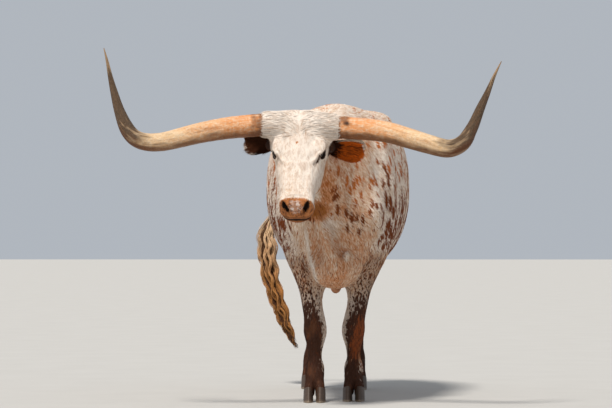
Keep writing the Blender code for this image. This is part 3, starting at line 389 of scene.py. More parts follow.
def mouth_line(flesh):
    """Points on the skin along the closed lips, from one corner of the mouth to the other."""
    rows = ((0.350, -0.128), (0.385, -0.127), (0.425, -0.123), (0.460, -0.118))
    half = list(to_skin(flesh, [on_head(0.15, down, out) for down, out in rows], -FACE_SIDE))
    half += list(to_skin(flesh, [on_head(side, 0.56, -0.113) for side in (0.058, 0.030)], -FACE_DOWN))
    middle = to_skin(flesh, [on_head(0, 0.56, -0.112)], -FACE_DOWN)[0]
    mirrored = [point - 2 * ((point - POLL) @ FACE_SIDE) * np.array(FACE_SIDE) for point in half]
    return [*half, middle, *reversed(mirrored)]


def to_skin(flesh, starts, ways):
    """Where the skin is met from points outside it."""
    points, ways = np.array(starts, float), np.array(ways, float)
    for _ in range(30):
        points = points + ways * 0.8 * flesh.distance(points, everywhere=True)[:, None]
    return points


def nostril_axes(sign):
    """Across a nostril's slit, along it and into the head. It leans inwards as it goes down."""
    slit = unit(FACE_DOWN * 0.52 - FACE_OUT * 0.80 - sign * FACE_SIDE * 0.34)
    inward = np.array(FACE_DOWN * 0.84 + FACE_OUT * 0.55 + sign * FACE_SIDE * 0.15)
    inward = unit(inward - slit * (inward @ slit))
    return np.cross(slit, inward), slit, inward


def eye_frame(sign):
    """The middle of an eye, the way it looks, the line from corner to corner, and the way across both.

    It looks mostly sideways, and a little forward.
    """
    gaze = unit(sign * FACE_SIDE * 0.78 + FACE_OUT * 0.56 + FACE_DOWN * 0.22)
    line = np.array(FACE_DOWN * 0.96 + FACE_OUT * 0.27)
    slit = unit(line - gaze * (line @ gaze))
    return np.array(on_head(sign * 0.096, 0.205, -0.052)), gaze, slit, np.cross(gaze, slit)


def ear_root(sign):
    """Where an ear leaves the head, by the horns' axis, and the way it points."""
    pointing = {1: (0.95, -0.10, -0.28), -1: (-0.86, 0.08, -0.50)}[sign]
    return np.array((sign * 0.136, -0.092, -0.045)), unit(pointing)


def ear_stub(sign):
    """The rise of the head under an ear, by the horns' axis."""
    root, pointing = ear_root(sign)
    places = ((-0.060, 0.040), (-0.022, 0.036), (0.002, 0.029))
    return [(root + along * pointing, radius) for along, radius in places]


def foreleg_rows(side):
    """A foreleg from the shoulder to the coronet. What it steps forward or back grows towards the foot."""
    foot_side, foot_along = FRONT_FEET[side]
    sign = SIDES[side]
    plan = [
        (0.195, 0.020, 1.05, 0.075, 0.160),
        (0.198, 0.030, 0.92, 0.080, 0.150),
        (0.180, 0.045, ELBOW_HEIGHT, 0.074, 0.122),
        (0.150, 0.030, 0.66, 0.064, 0.096),
        (0.124, 0.010, 0.56, 0.057, 0.078),
        (0.109, -0.005, 0.46, 0.051, 0.061),
        (0.099, -0.010, KNEE_HEIGHT + 0.060, 0.053, 0.056),
        (0.094, -0.015, KNEE_HEIGHT, 0.058, 0.057),
        (0.094, -0.005, KNEE_HEIGHT - 0.055, 0.044, 0.045),
        (0.095, 0.000, 0.24, 0.035, 0.038),
        (0.096, 0.000, 0.20, 0.037, 0.040),
        (0.096, -0.002, FETLOCK_HEIGHT, 0.048, 0.046),
        (0.096, -0.020, 0.125, 0.044, 0.041),
    ]
    rows = []
    for out, along, height, half_width, half_depth in plan:
        lower = np.clip((ELBOW_HEIGHT - height) / (ELBOW_HEIGHT - FETLOCK_HEIGHT), 0, 1)
        across = sign * out + (foot_side - sign * 0.096) * min(lower * 1.4, 1)
        rows.append((across, along + foot_along * lower, height, half_width, half_depth))
    return rows


def hindleg_rows(side):
    """A hind leg from the hip to the pastern, with the bend of stifle and hock."""
    foot_side, foot_along = HIND_FEET[side]
    sign = SIDES[side]
    plan = [
        (0.150, -0.055, 1.12, 0.120, 0.235),
        (0.160, -0.052, 0.98, 0.114, 0.238),
        (0.165, -0.064, 0.87, 0.100, 0.228),
        (0.158, -0.066, 0.77, 0.082, 0.190),
        (0.142, -0.040, 0.67, 0.062, 0.140),
        (0.129, -0.002, 0.58, 0.048, 0.095),
        (0.122, 0.022, HOCK_HEIGHT, 0.044, 0.066),
        (0.120, 0.028, HOCK_HEIGHT - 0.055, 0.043, 0.053),
        (0.120, 0.022, 0.40, 0.037, 0.044),
        (0.120, 0.012, 0.31, 0.034, 0.038),
        (0.120, 0.005, 0.22, 0.035, 0.039),
        (0.120, 0.000, FETLOCK_HEIGHT, 0.046, 0.045),
        (0.120, -0.020, 0.125, 0.043, 0.040),
    ]
    rows = []
    for out, along, height, half_width, half_depth in plan:
        lower = np.clip((0.98 - height) / (0.98 - 0.125), 0, 1)
        across = sign * out + (foot_side - sign * 0.120) * lower
        rows.append((across, 1.225 + along + (foot_along - 1.225) * lower, height, half_width, half_depth))
    return rows


def feet():
    """Each foot's name with the place of the fetlock's plumb line on the ground."""
    for side in SIDES:
        yield "fore_" + side, FRONT_FEET[side]
        yield "hind_" + side, HIND_FEET[side]


def foot_forms(flesh, place):
    """The two toes between the fetlock and the hooves."""
    across, along = place
    for sign in (-1, 1):
        flesh.join(Tube([
            (across + sign * 0.014, along - 0.012, 0.135, 0.030, 0.034),
            (across + sign * 0.022, along - 0.030, 0.095, 0.026, 0.036),
            (across + sign * TOE_SPREAD, along - HOOF_FORWARD + 0.004, 0.055, 0.0262, 0.050),
            (across + sign * TOE_SPREAD, along - HOOF_FORWARD + 0.004, 0.030, 0.0262, 0.050),
        ]), 0.012)


def leg_forms(flesh):
    for side, sign in SIDES.items():
        rows = foreleg_rows(side)
        flesh.join(Tube(rows), 0.07)
        elbow_along = rows[2][1] + 0.095
        flesh.join(Ellipsoid((sign * 0.190, elbow_along, ELBOW_HEIGHT + 0.015), (0.040, 0.045, 0.060)), 0.05)
        rows = hindleg_rows(side)
        flesh.join(Tube(rows), 0.07)
        gaskin, hock = rows[3], rows[6]
        flesh.join(Tube([
            (gaskin[0], gaskin[1] + 0.085, gaskin[2], 0.026, 0.030),
            ((gaskin[0] + hock[0]) / 2, hock[1] + 0.040, 0.63, 0.015, 0.022),
            (hock[0], hock[1] + 0.050, HOCK_HEIGHT + 0.040, 0.019, 0.024),
            (hock[0], hock[1] + 0.030, HOCK_HEIGHT - 0.030, 0.020, 0.024),
        ]), 0.025)
    for _, place in feet():
        foot_forms(flesh, place)


def steer_flesh():
    flesh = Flesh()
    torso_forms(flesh)
    neck_forms(flesh)
    leg_forms(flesh)
    head_forms(flesh)
    flesh.join(Tube(TAIL_PATH[:TAIL_DOCK_ROWS]), 0.03)
    lid_forms(flesh)
    return flesh


def field_on_grid(flesh, low, shape, cell, block=6):
    """The flesh's distance at every grid point, worked out finely only near the skin."""
    blocks = [-(-n // block) for n in shape]
    centres = np.stack(np.meshgrid(*[np.arange(n) for n in blocks], indexing="ij"), -1).reshape(-1, 3)
    coarse = flesh.distance(low + (centres + 0.5) * block * cell, everywhere=True).reshape(blocks)
    values = coarse
    for axis in range(3):
        values = np.repeat(values, block, axis=axis)
    values = values[: shape[0], : shape[1], : shape[2]].copy()
    near = np.argwhere(np.abs(values) < 1.6 * block * cell + 0.02)
    values[tuple(near.T)] = flesh.distance(low + near * cell)
    for axis in range(3):
        ends = np.moveaxis(values, axis, 0)
        ends[[0, -1]] = np.maximum(ends[[0, -1]], cell / 2)
    return values


def fill_pinches(values, cell):
    """Fills the grid points where the skin would touch itself along an edge."""
    for _ in range(3):
        for axis in range(3):
            grid = np.moveaxis(values, axis, 0)
            for a, b, c, d in (
                (grid[:, :-1, :-1], grid[:, 1:, 1:], grid[:, 1:, :-1], grid[:, :-1, 1:]),
                (grid[:, 1:, :-1], grid[:, :-1, 1:], grid[:, :-1, :-1], grid[:, 1:, 1:]),
            ):
                pinch = (a < 0) & (b < 0) & (c >= 0) & (d >= 0)
                c[pinch] = -0.05 * cell


def skin_net(flesh, low, high, cell):
    """A closed net of quads on the flesh's skin inside a box, closed off at the box's own walls."""
    low = np.array(low, float)
    shape = [int(math.ceil(side / cell)) + 1 for side in np.array(high) - low]
    values = field_on_grid(flesh, low, shape, cell)
    fill_pinches(values, cell)
    inside = values < 0
    corners = np.array([(i, j, k) for i in (0, 1) for j in (0, 1) for k in (0, 1)])
    counts = sum(
        inside[i : shape[0] - 1 + i, j : shape[1] - 1 + j, k : shape[2] - 1 + k].astype(np.int8)
        for i, j, k in corners
    )
    cells = np.argwhere((counts > 0) & (counts < 8))
    number = np.full([n - 1 for n in shape], -1)
    number[tuple(cells.T)] = np.arange(len(cells))
    total, crossings = np.zeros((len(cells), 3)), np.zeros(len(cells))
    for a in corners:
        for b in corners:
            if (b - a).sum() != 1 or np.abs(b - a).sum() != 1:
                continue
            start = values[tuple((cells + a).T)]
            end = values[tuple((cells + b).T)]
            crossed = (start < 0) != (end < 0)
            share = np.where(crossed, start / np.where(crossed, start - end, 1), 0)
            total[crossed] += (a + (b - a) * share[:, None])[crossed]
            crossings += crossed
    points = low + (cells + total / crossings[:, None]) * cell
    quads = []
    for axis in range(3):
        step = np.eye(3, dtype=int)[axis]
        one, two = (np.eye(3, dtype=int)[(axis + n) % 3] for n in (1, 2))
        first = inside[tuple(slice(0, n - s) for n, s in zip(shape, step))]
        second = inside[tuple(slice(s, n) for n, s in zip(shape, step))]
        edges = np.argwhere(first != second)
        leaving = first[tuple(edges.T)]
        ring = [number[tuple((edges - shift).T)] for shift in (one + two, two, 0 * one, one)]
        faces = np.stack(ring, 1)
        quads.append(np.where(leaving[:, None], faces, faces[:, ::-1]))
    return points, np.vstack(quads)


# Each horn's path by the horns' axis: out, up and forward, with its radius. The two differ as in life.
HORN_ROWS = {
    "right": [
        (HORN_ROOT_OUT, 0.000, 0.000, HORN_BASE_RADIUS),
        (0.175, 0.000, 0.004, HORN_BASE_RADIUS),
        (0.259, -0.010, 0.022, 0.0530),
        (0.345, -0.024, 0.046, 0.0515),
        (0.444, -0.045, 0.076, 0.0490),
        (0.555, -0.077, 0.104, 0.0460),
        (0.645, -0.100, 0.118, 0.0435),
        (0.714, -0.102, 0.120, 0.0415),
        (0.770, -0.082, 0.113, 0.0385),
        (0.813, -0.035, 0.098, 0.0345),
        (0.850, 0.040, 0.068, 0.0260),
        (0.882, 0.124, 0.030, 0.0190),
        (0.908, 0.202, -0.004, 0.0125),
        (0.931, 0.280, -0.034, 0.0070),
        (0.951, 0.341, -0.052, 0.0022),
    ],
    "left": [
        (HORN_ROOT_OUT, 0.000, 0.000, HORN_BASE_RADIUS),
        (0.205, 0.001, 0.004, HORN_BASE_RADIUS),
        (0.331, -0.006, 0.030, 0.0515),
        (0.425, -0.018, 0.056, 0.0495),
        (0.510, -0.041, 0.082, 0.0480),
        (0.599, -0.064, 0.104, 0.0455),
        (0.687, -0.084, 0.116, 0.0430),
        (0.737, -0.074, 0.116, 0.0400),
        (0.773, -0.046, 0.110, 0.0365),
        (0.797, -0.002, 0.096, 0.0305),
        (0.817, 0.042, 0.080, 0.0265),
        (0.841, 0.110, 0.052, 0.0215),
        (0.872, 0.188, 0.018, 0.0145),
        (0.901, 0.268, -0.016, 0.0080),
        (0.932, 0.339, -0.044, 0.0022),
    ],
}

# The tail's path: x, y, height, half width and half depth. Its first rows are flesh and the others hair.
TAIL_PATH = [
    (0.000, 1.375, 1.410, 0.032, 0.030),
    (-0.012, 1.452, 1.385, 0.033, 0.031),
    (-0.060, 1.515, 1.300, 0.029, 0.027),
    (-0.144, 1.560, 1.185, 0.025, 0.024),
    (-0.249, 1.585, 1.070, 0.022, 0.021),
    (-0.344, 1.590, 0.955, 0.020, 0.019),
    (-0.398, 1.585, 0.865, 0.018, 0.018),
    (-0.406, 1.580, 0.780, 0.030, 0.026),
    (-0.398, 1.575, 0.690, 0.036, 0.030),
    (-0.386, 1.570, 0.600, 0.035, 0.028),
    (-0.362, 1.565, 0.510, 0.032, 0.026),
    (-0.332, 1.562, 0.420, 0.028, 0.022),
    (-0.299, 1.560, 0.330, 0.021, 0.016),
    (-0.258, 1.558, 0.245, 0.011, 0.009),
    (-0.230, 1.556, 0.190, 0.003, 0.003),
]


# The box that the skin's net fills, and the size of its cells.
SKIN_BOX = ((-0.46, -0.99, 0.025), (0.46, 1.63, 1.53))
SKIN_CELL = 0.0112
# How flat a tuft is, and how much of its shading it takes from the skin below.
TUFT_FLATNESS = 0.42
TUFT_SOFTNESS = 0.62
# No coat grows below this height.
HOOF_TOP = 0.066
# The short coat: roots to a square metre, and the length, width and lift of a tuft.
COAT_SIZES = {
    "head": (52000, (0.0100, 0.0014, 0.075)),
    "neck": (16000, (0.022, 0.0030, 0.09)),
    "tail": (16000, (0.024, 0.0028, 0.12)),
    "leg": (21000, (0.0130, 0.0021, 0.085)),
    "body": (15500, (0.023, 0.0031, 0.085)),
}
POLL_DENSITY = 30000
# The hair of an ear: how many tufts, whether inside, from and to where up the ear as shares, the length,
# width and lift of a tuft, how far they fan out and how far they rise into the cup.
EAR_HAIR = {
    "back": (2600, False, 0, 0.98, (0.011, 0.0020, 0.10), 0.25, 0),
    "cup": (1500, True, 0.02, 0.85, (0.026, 0.0016, 0.22), 0.8, 0.28),
    "lining": (1600, True, 0.1, 0.99, (0.012, 0.0020, 0.10), 0.4, 0),
    "fringe": (1100, True, 0.02, 1.0, (0.017, 0.0018, 0.05), 0.9, 0.1),
}
# Seeds of the random draws. The coat's counts up by region; those of horns and ears differ by side.
COAT_SEED = 100
POLL_SEED = 7
HORN_SEED = 20
EAR_SEED = 40
LASH_SEED = 60
SWITCH_SEED = 11
# Steps along and around the meshes of horns, ears, eyes and claws.
HORN_STEPS = 9
HORN_SIDES = 56
EAR_STEPS = 22
EAR_RINGS = 30
EYE_RINGS = 40
EYE_SIDES = 48
CLAW_LEVELS = 26
CLAW_SIDES = 44
# A claw's height as a share, its half length and half width there, and how far back its middle sits.
CLAW_SHAPE = [(0.0, 0.068, 0.0275, -0.020), (0.45, 0.060, 0.0270, -0.009), (1.0, 0.050, 0.0258, 0.004)]
# Where the left horn's knot sits: how far along the horn, and its angle around.
KNOT_TRAVEL = 0.098
KNOT_ANGLE = 1.2
# The rows of the tail's path that are flesh, and the locks of the switch.
TAIL_DOCK_ROWS = 7
SWITCH_LOCKS = 620
SWITCH_CLUMPS = 17
SWITCH_RINGS = 21
PUPIL_LENGTH = 0.40
PUPIL_WIDTH = 0.24
FLOOR_REACH = 120.0

# Colours, linear.
WHITE = (0.80, 0.70, 0.61)
CREAM = (0.66, 0.48, 0.34)
DULL = (0.53, 0.375, 0.28)
ROAN = (0.55, 0.245, 0.115)
RUST = (0.34, 0.115, 0.024)
SPECKLE = (0.47, 0.135, 0.030)
DARK_SPECKLE = (0.17, 0.040, 0.009)
RED_BROWN = (0.23, 0.055, 0.014)
BROWN = (0.050, 0.018, 0.009)
BROWN_SHADE = (0.13, 0.060, 0.035)
LIGHT_BROWN = (0.095, 0.034, 0.014)
ORANGE = (0.46, 0.165, 0.050)
# Pink of the wet pad, partly the skin's own colour and partly a painted grey-pink sheen.
PINK_AND_SHEEN = (0.58, 0.29, 0.17)
BLOT = (0.10, 0.032, 0.014)
# Pale glints painted on the wet muzzle: a painted highlight.
PAINTED_HIGHLIGHT = (0.92, 0.80, 0.72)
# Near black for painted shade in the nostrils, along the mouth and at the ear roots, and for the lids, partly
# dark of their own.
DARK_SKIN_AND_SHADE = (0.020, 0.009, 0.005)
HORN_ORANGE = (0.76, 0.30, 0.100)
HORN_TAN = (0.77, 0.51, 0.28)
HORN_PALE = (0.86, 0.68, 0.48)
HORN_STREAK = (0.28, 0.115, 0.042)
HORN_DARK = (0.034, 0.015, 0.005)
HORN_SCRATCH = (0.20, 0.092, 0.032)
HORN_TIP = (0.22, 0.105, 0.040)
# Painted shade on the underside of the horns.
HORN_UNDERSIDE_SHADE = (0.150, 0.044, 0.010)
HORN_ROOT = (0.135, 0.048, 0.018)
HORN_KNOT = (0.022, 0.010, 0.007)

# Folds of the skin: their points, width and depth, where a depth below 0 raises a ridge. Those of the
# face are told sideways and down it, those of the cheeks down and out of the face, those in front by
# x and height, and those at the sides by y and height. Face, cheeks and sides have them left and right.
EYE_CREASE = [(0.101, 0.222), (0.091, 0.244), (0.077, 0.268)]
EYE_FOLD = [(0.045, 0.252), (0.059, 0.228), (0.094, 0.200)]
FACE_FOLDS = [
    (EYE_CREASE, 0.0046, 0.0085),
    ([(0.097, 0.212), (0.083, 0.234), (0.070, 0.256)], 0.0065, -0.0050),
    (EYE_FOLD, 0.0055, 0.0060),
    ([(0.074, 0.264), (0.062, 0.272), (0.057, 0.290)], 0.0038, 0.0024),
    ([(0.086, 0.277), (0.076, 0.298), (0.073, 0.322)], 0.005, 0.0020),
    ([(0.030, 0.100), (0.052, 0.090), (0.075, 0.096)], 0.006, 0.0012),
    ([(0.058, 0.392), (0.052, 0.410), (0.055, 0.432)], 0.004, 0.0016),
    ([(0.068, 0.372), (0.063, 0.398), (0.069, 0.424)], 0.004, 0.0020),
    ([(0.0, 0.436), (0.025, 0.436), (0.048, 0.441)], 0.004, 0.0018),
    ([(0.0, 0.428), (0.022, 0.427), (0.040, 0.430)], 0.004, -0.0012),
    ([(0.0, 0.462), (0.0, 0.480), (0.0, 0.495)], 0.003, 0.0014),
    ([(0.066, 0.300), (0.069, 0.345), (0.066, 0.385)], 0.008, -0.0026),
    ([(0.040, 0.300), (0.044, 0.350), (0.040, 0.400)], 0.010, 0.0028),
    ([(0.053, 0.325), (0.056, 0.365), (0.052, 0.410)], 0.007, -0.0022),
    ([(0.018, 0.165), (0.027, 0.200), (0.030, 0.245)], 0.012, 0.0026),
    ([(0.072, 0.150), (0.056, 0.166), (0.046, 0.190)], 0.008, 0.0026),
    ([(0.050, 0.118), (0.070, 0.130), (0.088, 0.146)], 0.010, -0.0034),
    ([(0.000, 0.250), (0.012, 0.268), (0.014, 0.300)], 0.009, 0.0018),
]
CHEEK_FOLDS = [
    ([(0.130, -0.075), (0.165, -0.085), (0.200, -0.100)], 0.012, 0.0025),
    ([(0.215, -0.105), (0.275, -0.110), (0.335, -0.105)], 0.009, -0.0026),
    ([(0.300, -0.140), (0.270, -0.165), (0.225, -0.180)], 0.010, 0.0025),
]
FRONT_FOLDS = [
    ([(-0.165, 0.96), (-0.150, 0.87), (-0.125, 0.76), (-0.100, 0.66), (-0.088, 0.60)], 0.013, -0.011),
    ([(-0.205, 0.93), (-0.188, 0.84), (-0.163, 0.74), (-0.138, 0.66)], 0.028, 0.016),
    ([(-0.115, 0.94), (-0.100, 0.84), (-0.072, 0.74), (-0.052, 0.66)], 0.026, 0.010),
    ([(0.010, 1.00), (0.035, 0.92), (0.070, 0.84), (0.110, 0.78)], 0.018, 0.008),
    ([(-0.020, 0.90), (0.000, 0.80), (0.030, 0.72)], 0.014, 0.005),
]
SIDE_FOLDS = [
    ([(0.125, 0.86), (0.150, 0.78), (0.130, 0.70)], 0.016, 0.005),
    ([(0.98, 0.98), (0.94, 0.88), (0.92, 0.80)], 0.020, 0.005),
    ([(1.33, 1.10), (1.31, 0.95), (1.26, 0.80)], 0.018, 0.0035),
    ([(-0.10, 1.30), (-0.08, 1.15), (-0.12, 1.00)], 0.022, 0.004),
]
RIBS = 6


def ease(value, low, high):
    """0 below low, 1 above high and smooth between them."""
    share = np.clip((value - low) / (high - low), 0, 1)
    return share * share * (3 - 2 * share)


def by_head(points):
    """Sideways, down the face and out of it, for points of the body."""
    return ((points - np.array(POLL)) @ np.array([FACE_SIDE, FACE_DOWN, FACE_OUT]).T).T


def along_horns(points):
    """Sideways, forward and up from the middle of the horns' axis."""
    side, back, up = ((points - np.array(HORN_AXIS)) @ np.array(HORN_TURN)).T
    return side, -back, up


def on_head_share(points):
    """1 on the head and 0 behind the line from the poll to the throat."""
    upper, lower = on_head(0, -0.018, -0.090), on_head(0, 0.253, -0.248)
    normal = unit(FACE_SIDE.cross(lower - upper))
    return ease(-(points - np.array(upper)) @ normal, -0.015, 0.03)


def on_neck_share(points):
    """1 ahead of the shoulder and 0 on the body."""
    return ease((points - np.array((0, 0.02, 1.46))) @ unit((0, -0.907, 0.421)), -0.03, 0.06)


def on_sheath(points):
    """1 on the bulb under the belly and 0 off it."""
    x, y, z = points.T
    return ease(0.590 - z, 0, 0.02) * (np.abs(x) < 0.06) * (np.abs(y - 0.57) < 0.07)


def coat_depth(points):
    """How far the skin lies under the outside of the coat."""
    depth = 0.0038 - 0.0014 * ease(0.62 - points[:, 2], 0, 0.15)
    head = on_head_share(points)
    depth += (0.0018 - depth) * head
    _, down, _ = by_head(points)
    bare = np.maximum(ease(down, 0.430, 0.455) * head, on_sheath(points))
    for sign in SIDES.values():
        bare = np.maximum(bare, 1 - ease(np.linalg.norm(points - eye_frame(sign)[0], axis=1), 0.026, 0.040))
    return depth + (0.0006 - depth) * bare


def nostril_centre(sign):
    """The middle of a nostril's opening."""
    return np.array(on_head(sign * 0.049, 0.476, -0.044))


def lid_forms(flesh):
    """Rims of the lids, brows, wings of the nostrils, a lump on the chest and a bulb at the sheath."""
    for sign in SIDES.values():
        eye, gaze, slit, across = eye_frame(sign)
        rim, brow, wing = [], [], []
        for angle in np.linspace(0, math.tau, 13):
            s, c = EYE_HALF_LENGTH * math.cos(angle), EYE_HALF_HEIGHT * math.sin(angle)
            forward = math.sqrt((EYE_RADIUS + 0.0012) ** 2 - s * s - c * c)
            rim.append((*(eye + slit * s + across * c + gaze * forward), 0.0026, 0.0026))
        for angle in math.pi * np.linspace(0.12, 0.88, 7):
            s, c = 0.030 * math.cos(angle), 0.0240 * math.sin(angle)
            brow.append((*(eye + slit * s - sign * across * c + gaze * 0.014), 0.0070, 0.0070))
        flesh.join(Tube(rim, 2, sideways=gaze), 0.0035)
        flesh.join(Tube(brow, 2, sideways=gaze), 0.009)
        axes = nostril_axes(sign)
        _, slit, inward = axes
        for angle in math.pi * np.linspace(0.05, 0.95, 9):
            outer = np.array(FACE_SIDE) * sign * 0.0155 * math.sin(angle)
            edge = nostril_centre(sign) - inward * 0.004 + slit * 0.027 * math.cos(angle) + outer
            wing.append((*edge, 0.005, 0.005))
        flesh.join(Tube(wing, 2, sideways=inward), 0.006)
        flesh.carve(Ellipsoid(nostril_centre(sign), (0.0098, 0.0265, 0.022), axes), 0.004)
        flesh.carve(Ellipsoid(nostril_centre(sign) + slit * 0.014, (0.0115, 0.0125, 0.020), axes), 0.004)
    flesh.join(Ellipsoid((0.056, -0.376, 0.716), (0.020, 0.028, 0.028)), 0.008)
    flesh.join(Ellipsoid((-0.010, 0.587, 0.543), (0.0235, 0.025, 0.024)), 0.006)


class Skin:
    """The bare skin: the flesh less the depth of its coat, with folds pressed in and ridges raised."""

    def __init__(self, flesh):
        self.flesh = flesh
        self.folds = list(folds_of(flesh))

    def distance(self, points, everywhere=False):
        result = self.flesh.distance(points, everywhere) + coat_depth(points)
        for path, width, depth in self.folds:
            reach = 3 * width
            near = ((points > path.min(axis=0) - reach) & (points < path.max(axis=0) + reach)).all(axis=1)
            if near.any():
                result[near] += depth * np.exp(-((to_path(points[near], path) / width) ** 2))
        return result


def to_path(points, path):
    """The distance from each point to a line of short straight steps."""
    nearest = np.full(len(points), 1e3)
    for start, end in zip(path, path[1:]):
        step = end - start
        share = np.clip((points - start) @ step / (step @ step), 0, 1)
        nearest = np.minimum(nearest, np.linalg.norm(points - start - share[:, None] * step, axis=1))
    return nearest


def folds_of(flesh):
    """Each fold of the skin as a path on it, its width and its depth. A depth below 0 raises a ridge."""
    folds = []
    for rows, *sizes in FACE_FOLDS:
        for sign in SIDES.values():
            folds.append(([on_head(sign * side, down, 0.06) for side, down in rows], -FACE_OUT, *sizes))
    for rows, *sizes in CHEEK_FOLDS:
        for sign in SIDES.values():
            folds.append(([on_head(sign * 0.17, down, out) for down, out in rows], -sign * FACE_SIDE, *sizes))
    front, sides = list(FRONT_FOLDS), list(SIDE_FOLDS)
    for rib in range(RIBS):
        along = 0.42 + 0.085 * rib
        sides.append(([(along, 1.12), (along + 0.03, 0.95), (along + 0.02, 0.80)], 0.014, 0.0014))
    for side, sign in SIDES.items():
        knee, cannon = foreleg_rows(side)[7], foreleg_rows(side)[9]
        for height, depth in ((0.034, 0.0014), (0.0, 0.0012), (-0.040, 0.0018)):
            across_knee = [(knee[0] + 0.04 * t, knee[2] + height - 0.01 * t * t) for t in (-1, 0, 1)]
            front.append((across_knee, 0.006, depth))
        for offset in (-0.017, 0.017):
            front.append(([(cannon[0] + offset, height) for height in (0.31, 0.25, 0.19)], 0.006, 0.0016))
        front.append(([(sign * 0.100, 0.76), (sign * 0.135, 0.70), (sign * 0.150, 0.62)], 0.018, 0.006))
        for rows, *sizes in sides:
            folds.append(([(sign * 0.6, along, height) for along, height in rows], (-sign, 0, 0), *sizes))
    folds += [([(x, -0.60, z) for x, z in rows], (0, 1, 0), *sizes) for rows, *sizes in front]
    ways = np.vstack([np.tile(way, (len(rows), 1)) for rows, way, _, _ in folds])
    places = to_skin(flesh, np.vstack([rows for rows, _, _, _ in folds]), ways)
    ends = np.cumsum([len(rows) for rows, _, _, _ in folds])
    for path, (_, _, width, depth) in zip(np.split(places, ends[:-1]), folds):
        yield flowing(path, 3), width, depth


def settled(skin, points, turns):
    """Points moved onto the skin."""
    small = 4e-4
    for _ in range(turns):
        here = skin.distance(points)
        slope = np.stack([skin.distance(points + small * axis) - here for axis in np.eye(3)], 1) / small
        steep = np.maximum((slope * slope).sum(axis=1), 0.2)
        points = points - slope * np.clip(here / steep, -0.006, 0.006)[:, None]
    return points


def coordinates(mesh):
    values = np.empty(len(mesh.vertices) * 3)
    mesh.vertices.foreach_get("co", values)
    return values.reshape(-1, 3)


def refined(mesh, wanted):
    """Splits the faces where wanted, a test of points, says so."""
    chosen = wanted(coordinates(mesh))
    net = bmesh.new()
    net.from_mesh(mesh)
    edges = [edge for edge in net.edges if chosen[edge.verts[0].index] or chosen[edge.verts[1].index]]
    bmesh.ops.subdivide_edges(net, edges=edges, cuts=1, use_grid_fill=True)
    net.to_mesh(mesh)
    net.free()


def skin_mesh(skin):
    """The skin as one net: fine on the head, finest round eyes, nostrils and mouth."""
    mesh = bpy.data.meshes.new("skin")
    points, quads = skin_net(skin, *SKIN_BOX, SKIN_CELL)
    mesh.from_pydata(points, [], quads)
    net = bmesh.new()
    net.from_mesh(mesh)
    keep_largest(net)
    net.to_mesh(mesh)
    net.free()

    def around_head(places):
        return on_head_share(places) > 0.3

    def fine_places(places):
        fine = (by_head(places)[1] > 0.41) & (on_head_share(places) > 0.5)
        for sign in SIDES.values():
            fine |= np.linalg.norm(places - eye_frame(sign)[0], axis=1) < 0.050
        return fine

    mesh.vertices.foreach_set("co", settled(skin, coordinates(mesh), 1).ravel())
    for wanted in (around_head, fine_places):
        refined(mesh, wanted)
        points = coordinates(mesh)
        near = around_head(points)
        points[near] = settled(skin, points[near], 2)
        mesh.vertices.foreach_set("co", points.ravel())
    mesh.update()
    return mesh


def keep_largest(net):
    """Deletes every loose surface but the largest."""
    left, shells = set(net.faces), []
    while left:
        shell, queue = [], [left.pop()]
        while queue:
            face = queue.pop()
            shell.append(face)
            for edge in face.edges:
                for other in edge.link_faces:
                    if other in left:
                        left.remove(other)
                        queue.append(other)
        shells.append(shell)
    shells.sort(key=len)
    bmesh.ops.delete(net, geom=[face for shell in shells[:-1] for face in shell], context="FACES")


def leg_places(points):
    """For each leg: which points are on it, how far they are out from its middle and how far ahead of it."""
    for side, sign in SIDES.items():
        for rows, top in ((foreleg_rows(side), 0.74), (hindleg_rows(side), 0.86)):
            rows = np.array(rows)[::-1]
            x, y = (np.interp(points[:, 2], rows[:, 2], rows[:, axis]) for axis in (0, 1))
            near = (points[:, 2] < top) & (np.abs(points[:, 1] - y) < 0.24) & (sign * points[:, 0] > -0.02)
            yield near, sign * (points[:, 0] - x), y - points[:, 1]


def leg_marks(points, speckle, brown, rust):
    """Changes the marks on the legs: speckles that thicken into brown below, with pale inner sides."""
    z = points[:, 2]
    for number, (near, outward, ahead) in enumerate(leg_places(points)):
        left_fore = number == 2
        height, outward, ahead = z[near], outward[near], ahead[near]
        narrow = 0.014 * ease(0.44 - height, 0, 0.06)
        inner = ease(-outward, 0.004 + narrow, 0.030 + narrow) * (1 - 0.6 * ease(ahead, 0.02, 0.05))
        cover = 0.40 + 0.24 * np.clip((0.76 - height) / 0.24, 0, 1) + 0.36 * ease(0.56 - height, 0, 0.21)
        cover = cover * ease(0.78 - height, 0, 0.10) * (1 - 0.72 * inner * ease(height, 0.13, 0.20))
        if left_fore:
            cover = cover * (1 - 0.62 * ease(outward, 0.020, 0.032) * ease(0.29 - height, 0, 0.04))
        brown[near] = np.maximum(cover, 0.98 * ease(0.20 - height, 0, 0.09))
        upper = (0.90 * (1 - 0.80 * inner)) * ease(0.90 - height, 0, 0.24)
        speckle[near] = np.maximum(speckle[near] * (1 - ease(0.80 - height, 0, 0.10)), upper)
        band = outward + 0.020 * ease(0.33 - height, 0, 0.05)
        red = 0.10 + 0.74 * left_fore * ease(band, -0.012, 0.016) * ease(ahead, -0.050, 0.0)
        red = red * ease(0.47 - height, 0, 0.10) * ease(height, 0.17, 0.24) * (1 - inner)
        low = ease(0.80 - height, 0, 0.14)
        rust[near] = rust[near] * (1 - low) + low * (0.12 + 0.30 * ease(height, 0.46, 0.62) + red)


def at_ears(points):
    """1 on the stubs that carry the ears and 0 off them."""
    result = np.zeros(len(points))
    for sign in SIDES.values():
        root, along, _, _ = ear_axes(sign)
        gap = np.linalg.norm(points - root - along * 0.005, axis=1)
        result = np.maximum(result, (1 - ease(gap, 0.034, 0.048)) * (along_horns(points)[2] < -0.035))
    return result


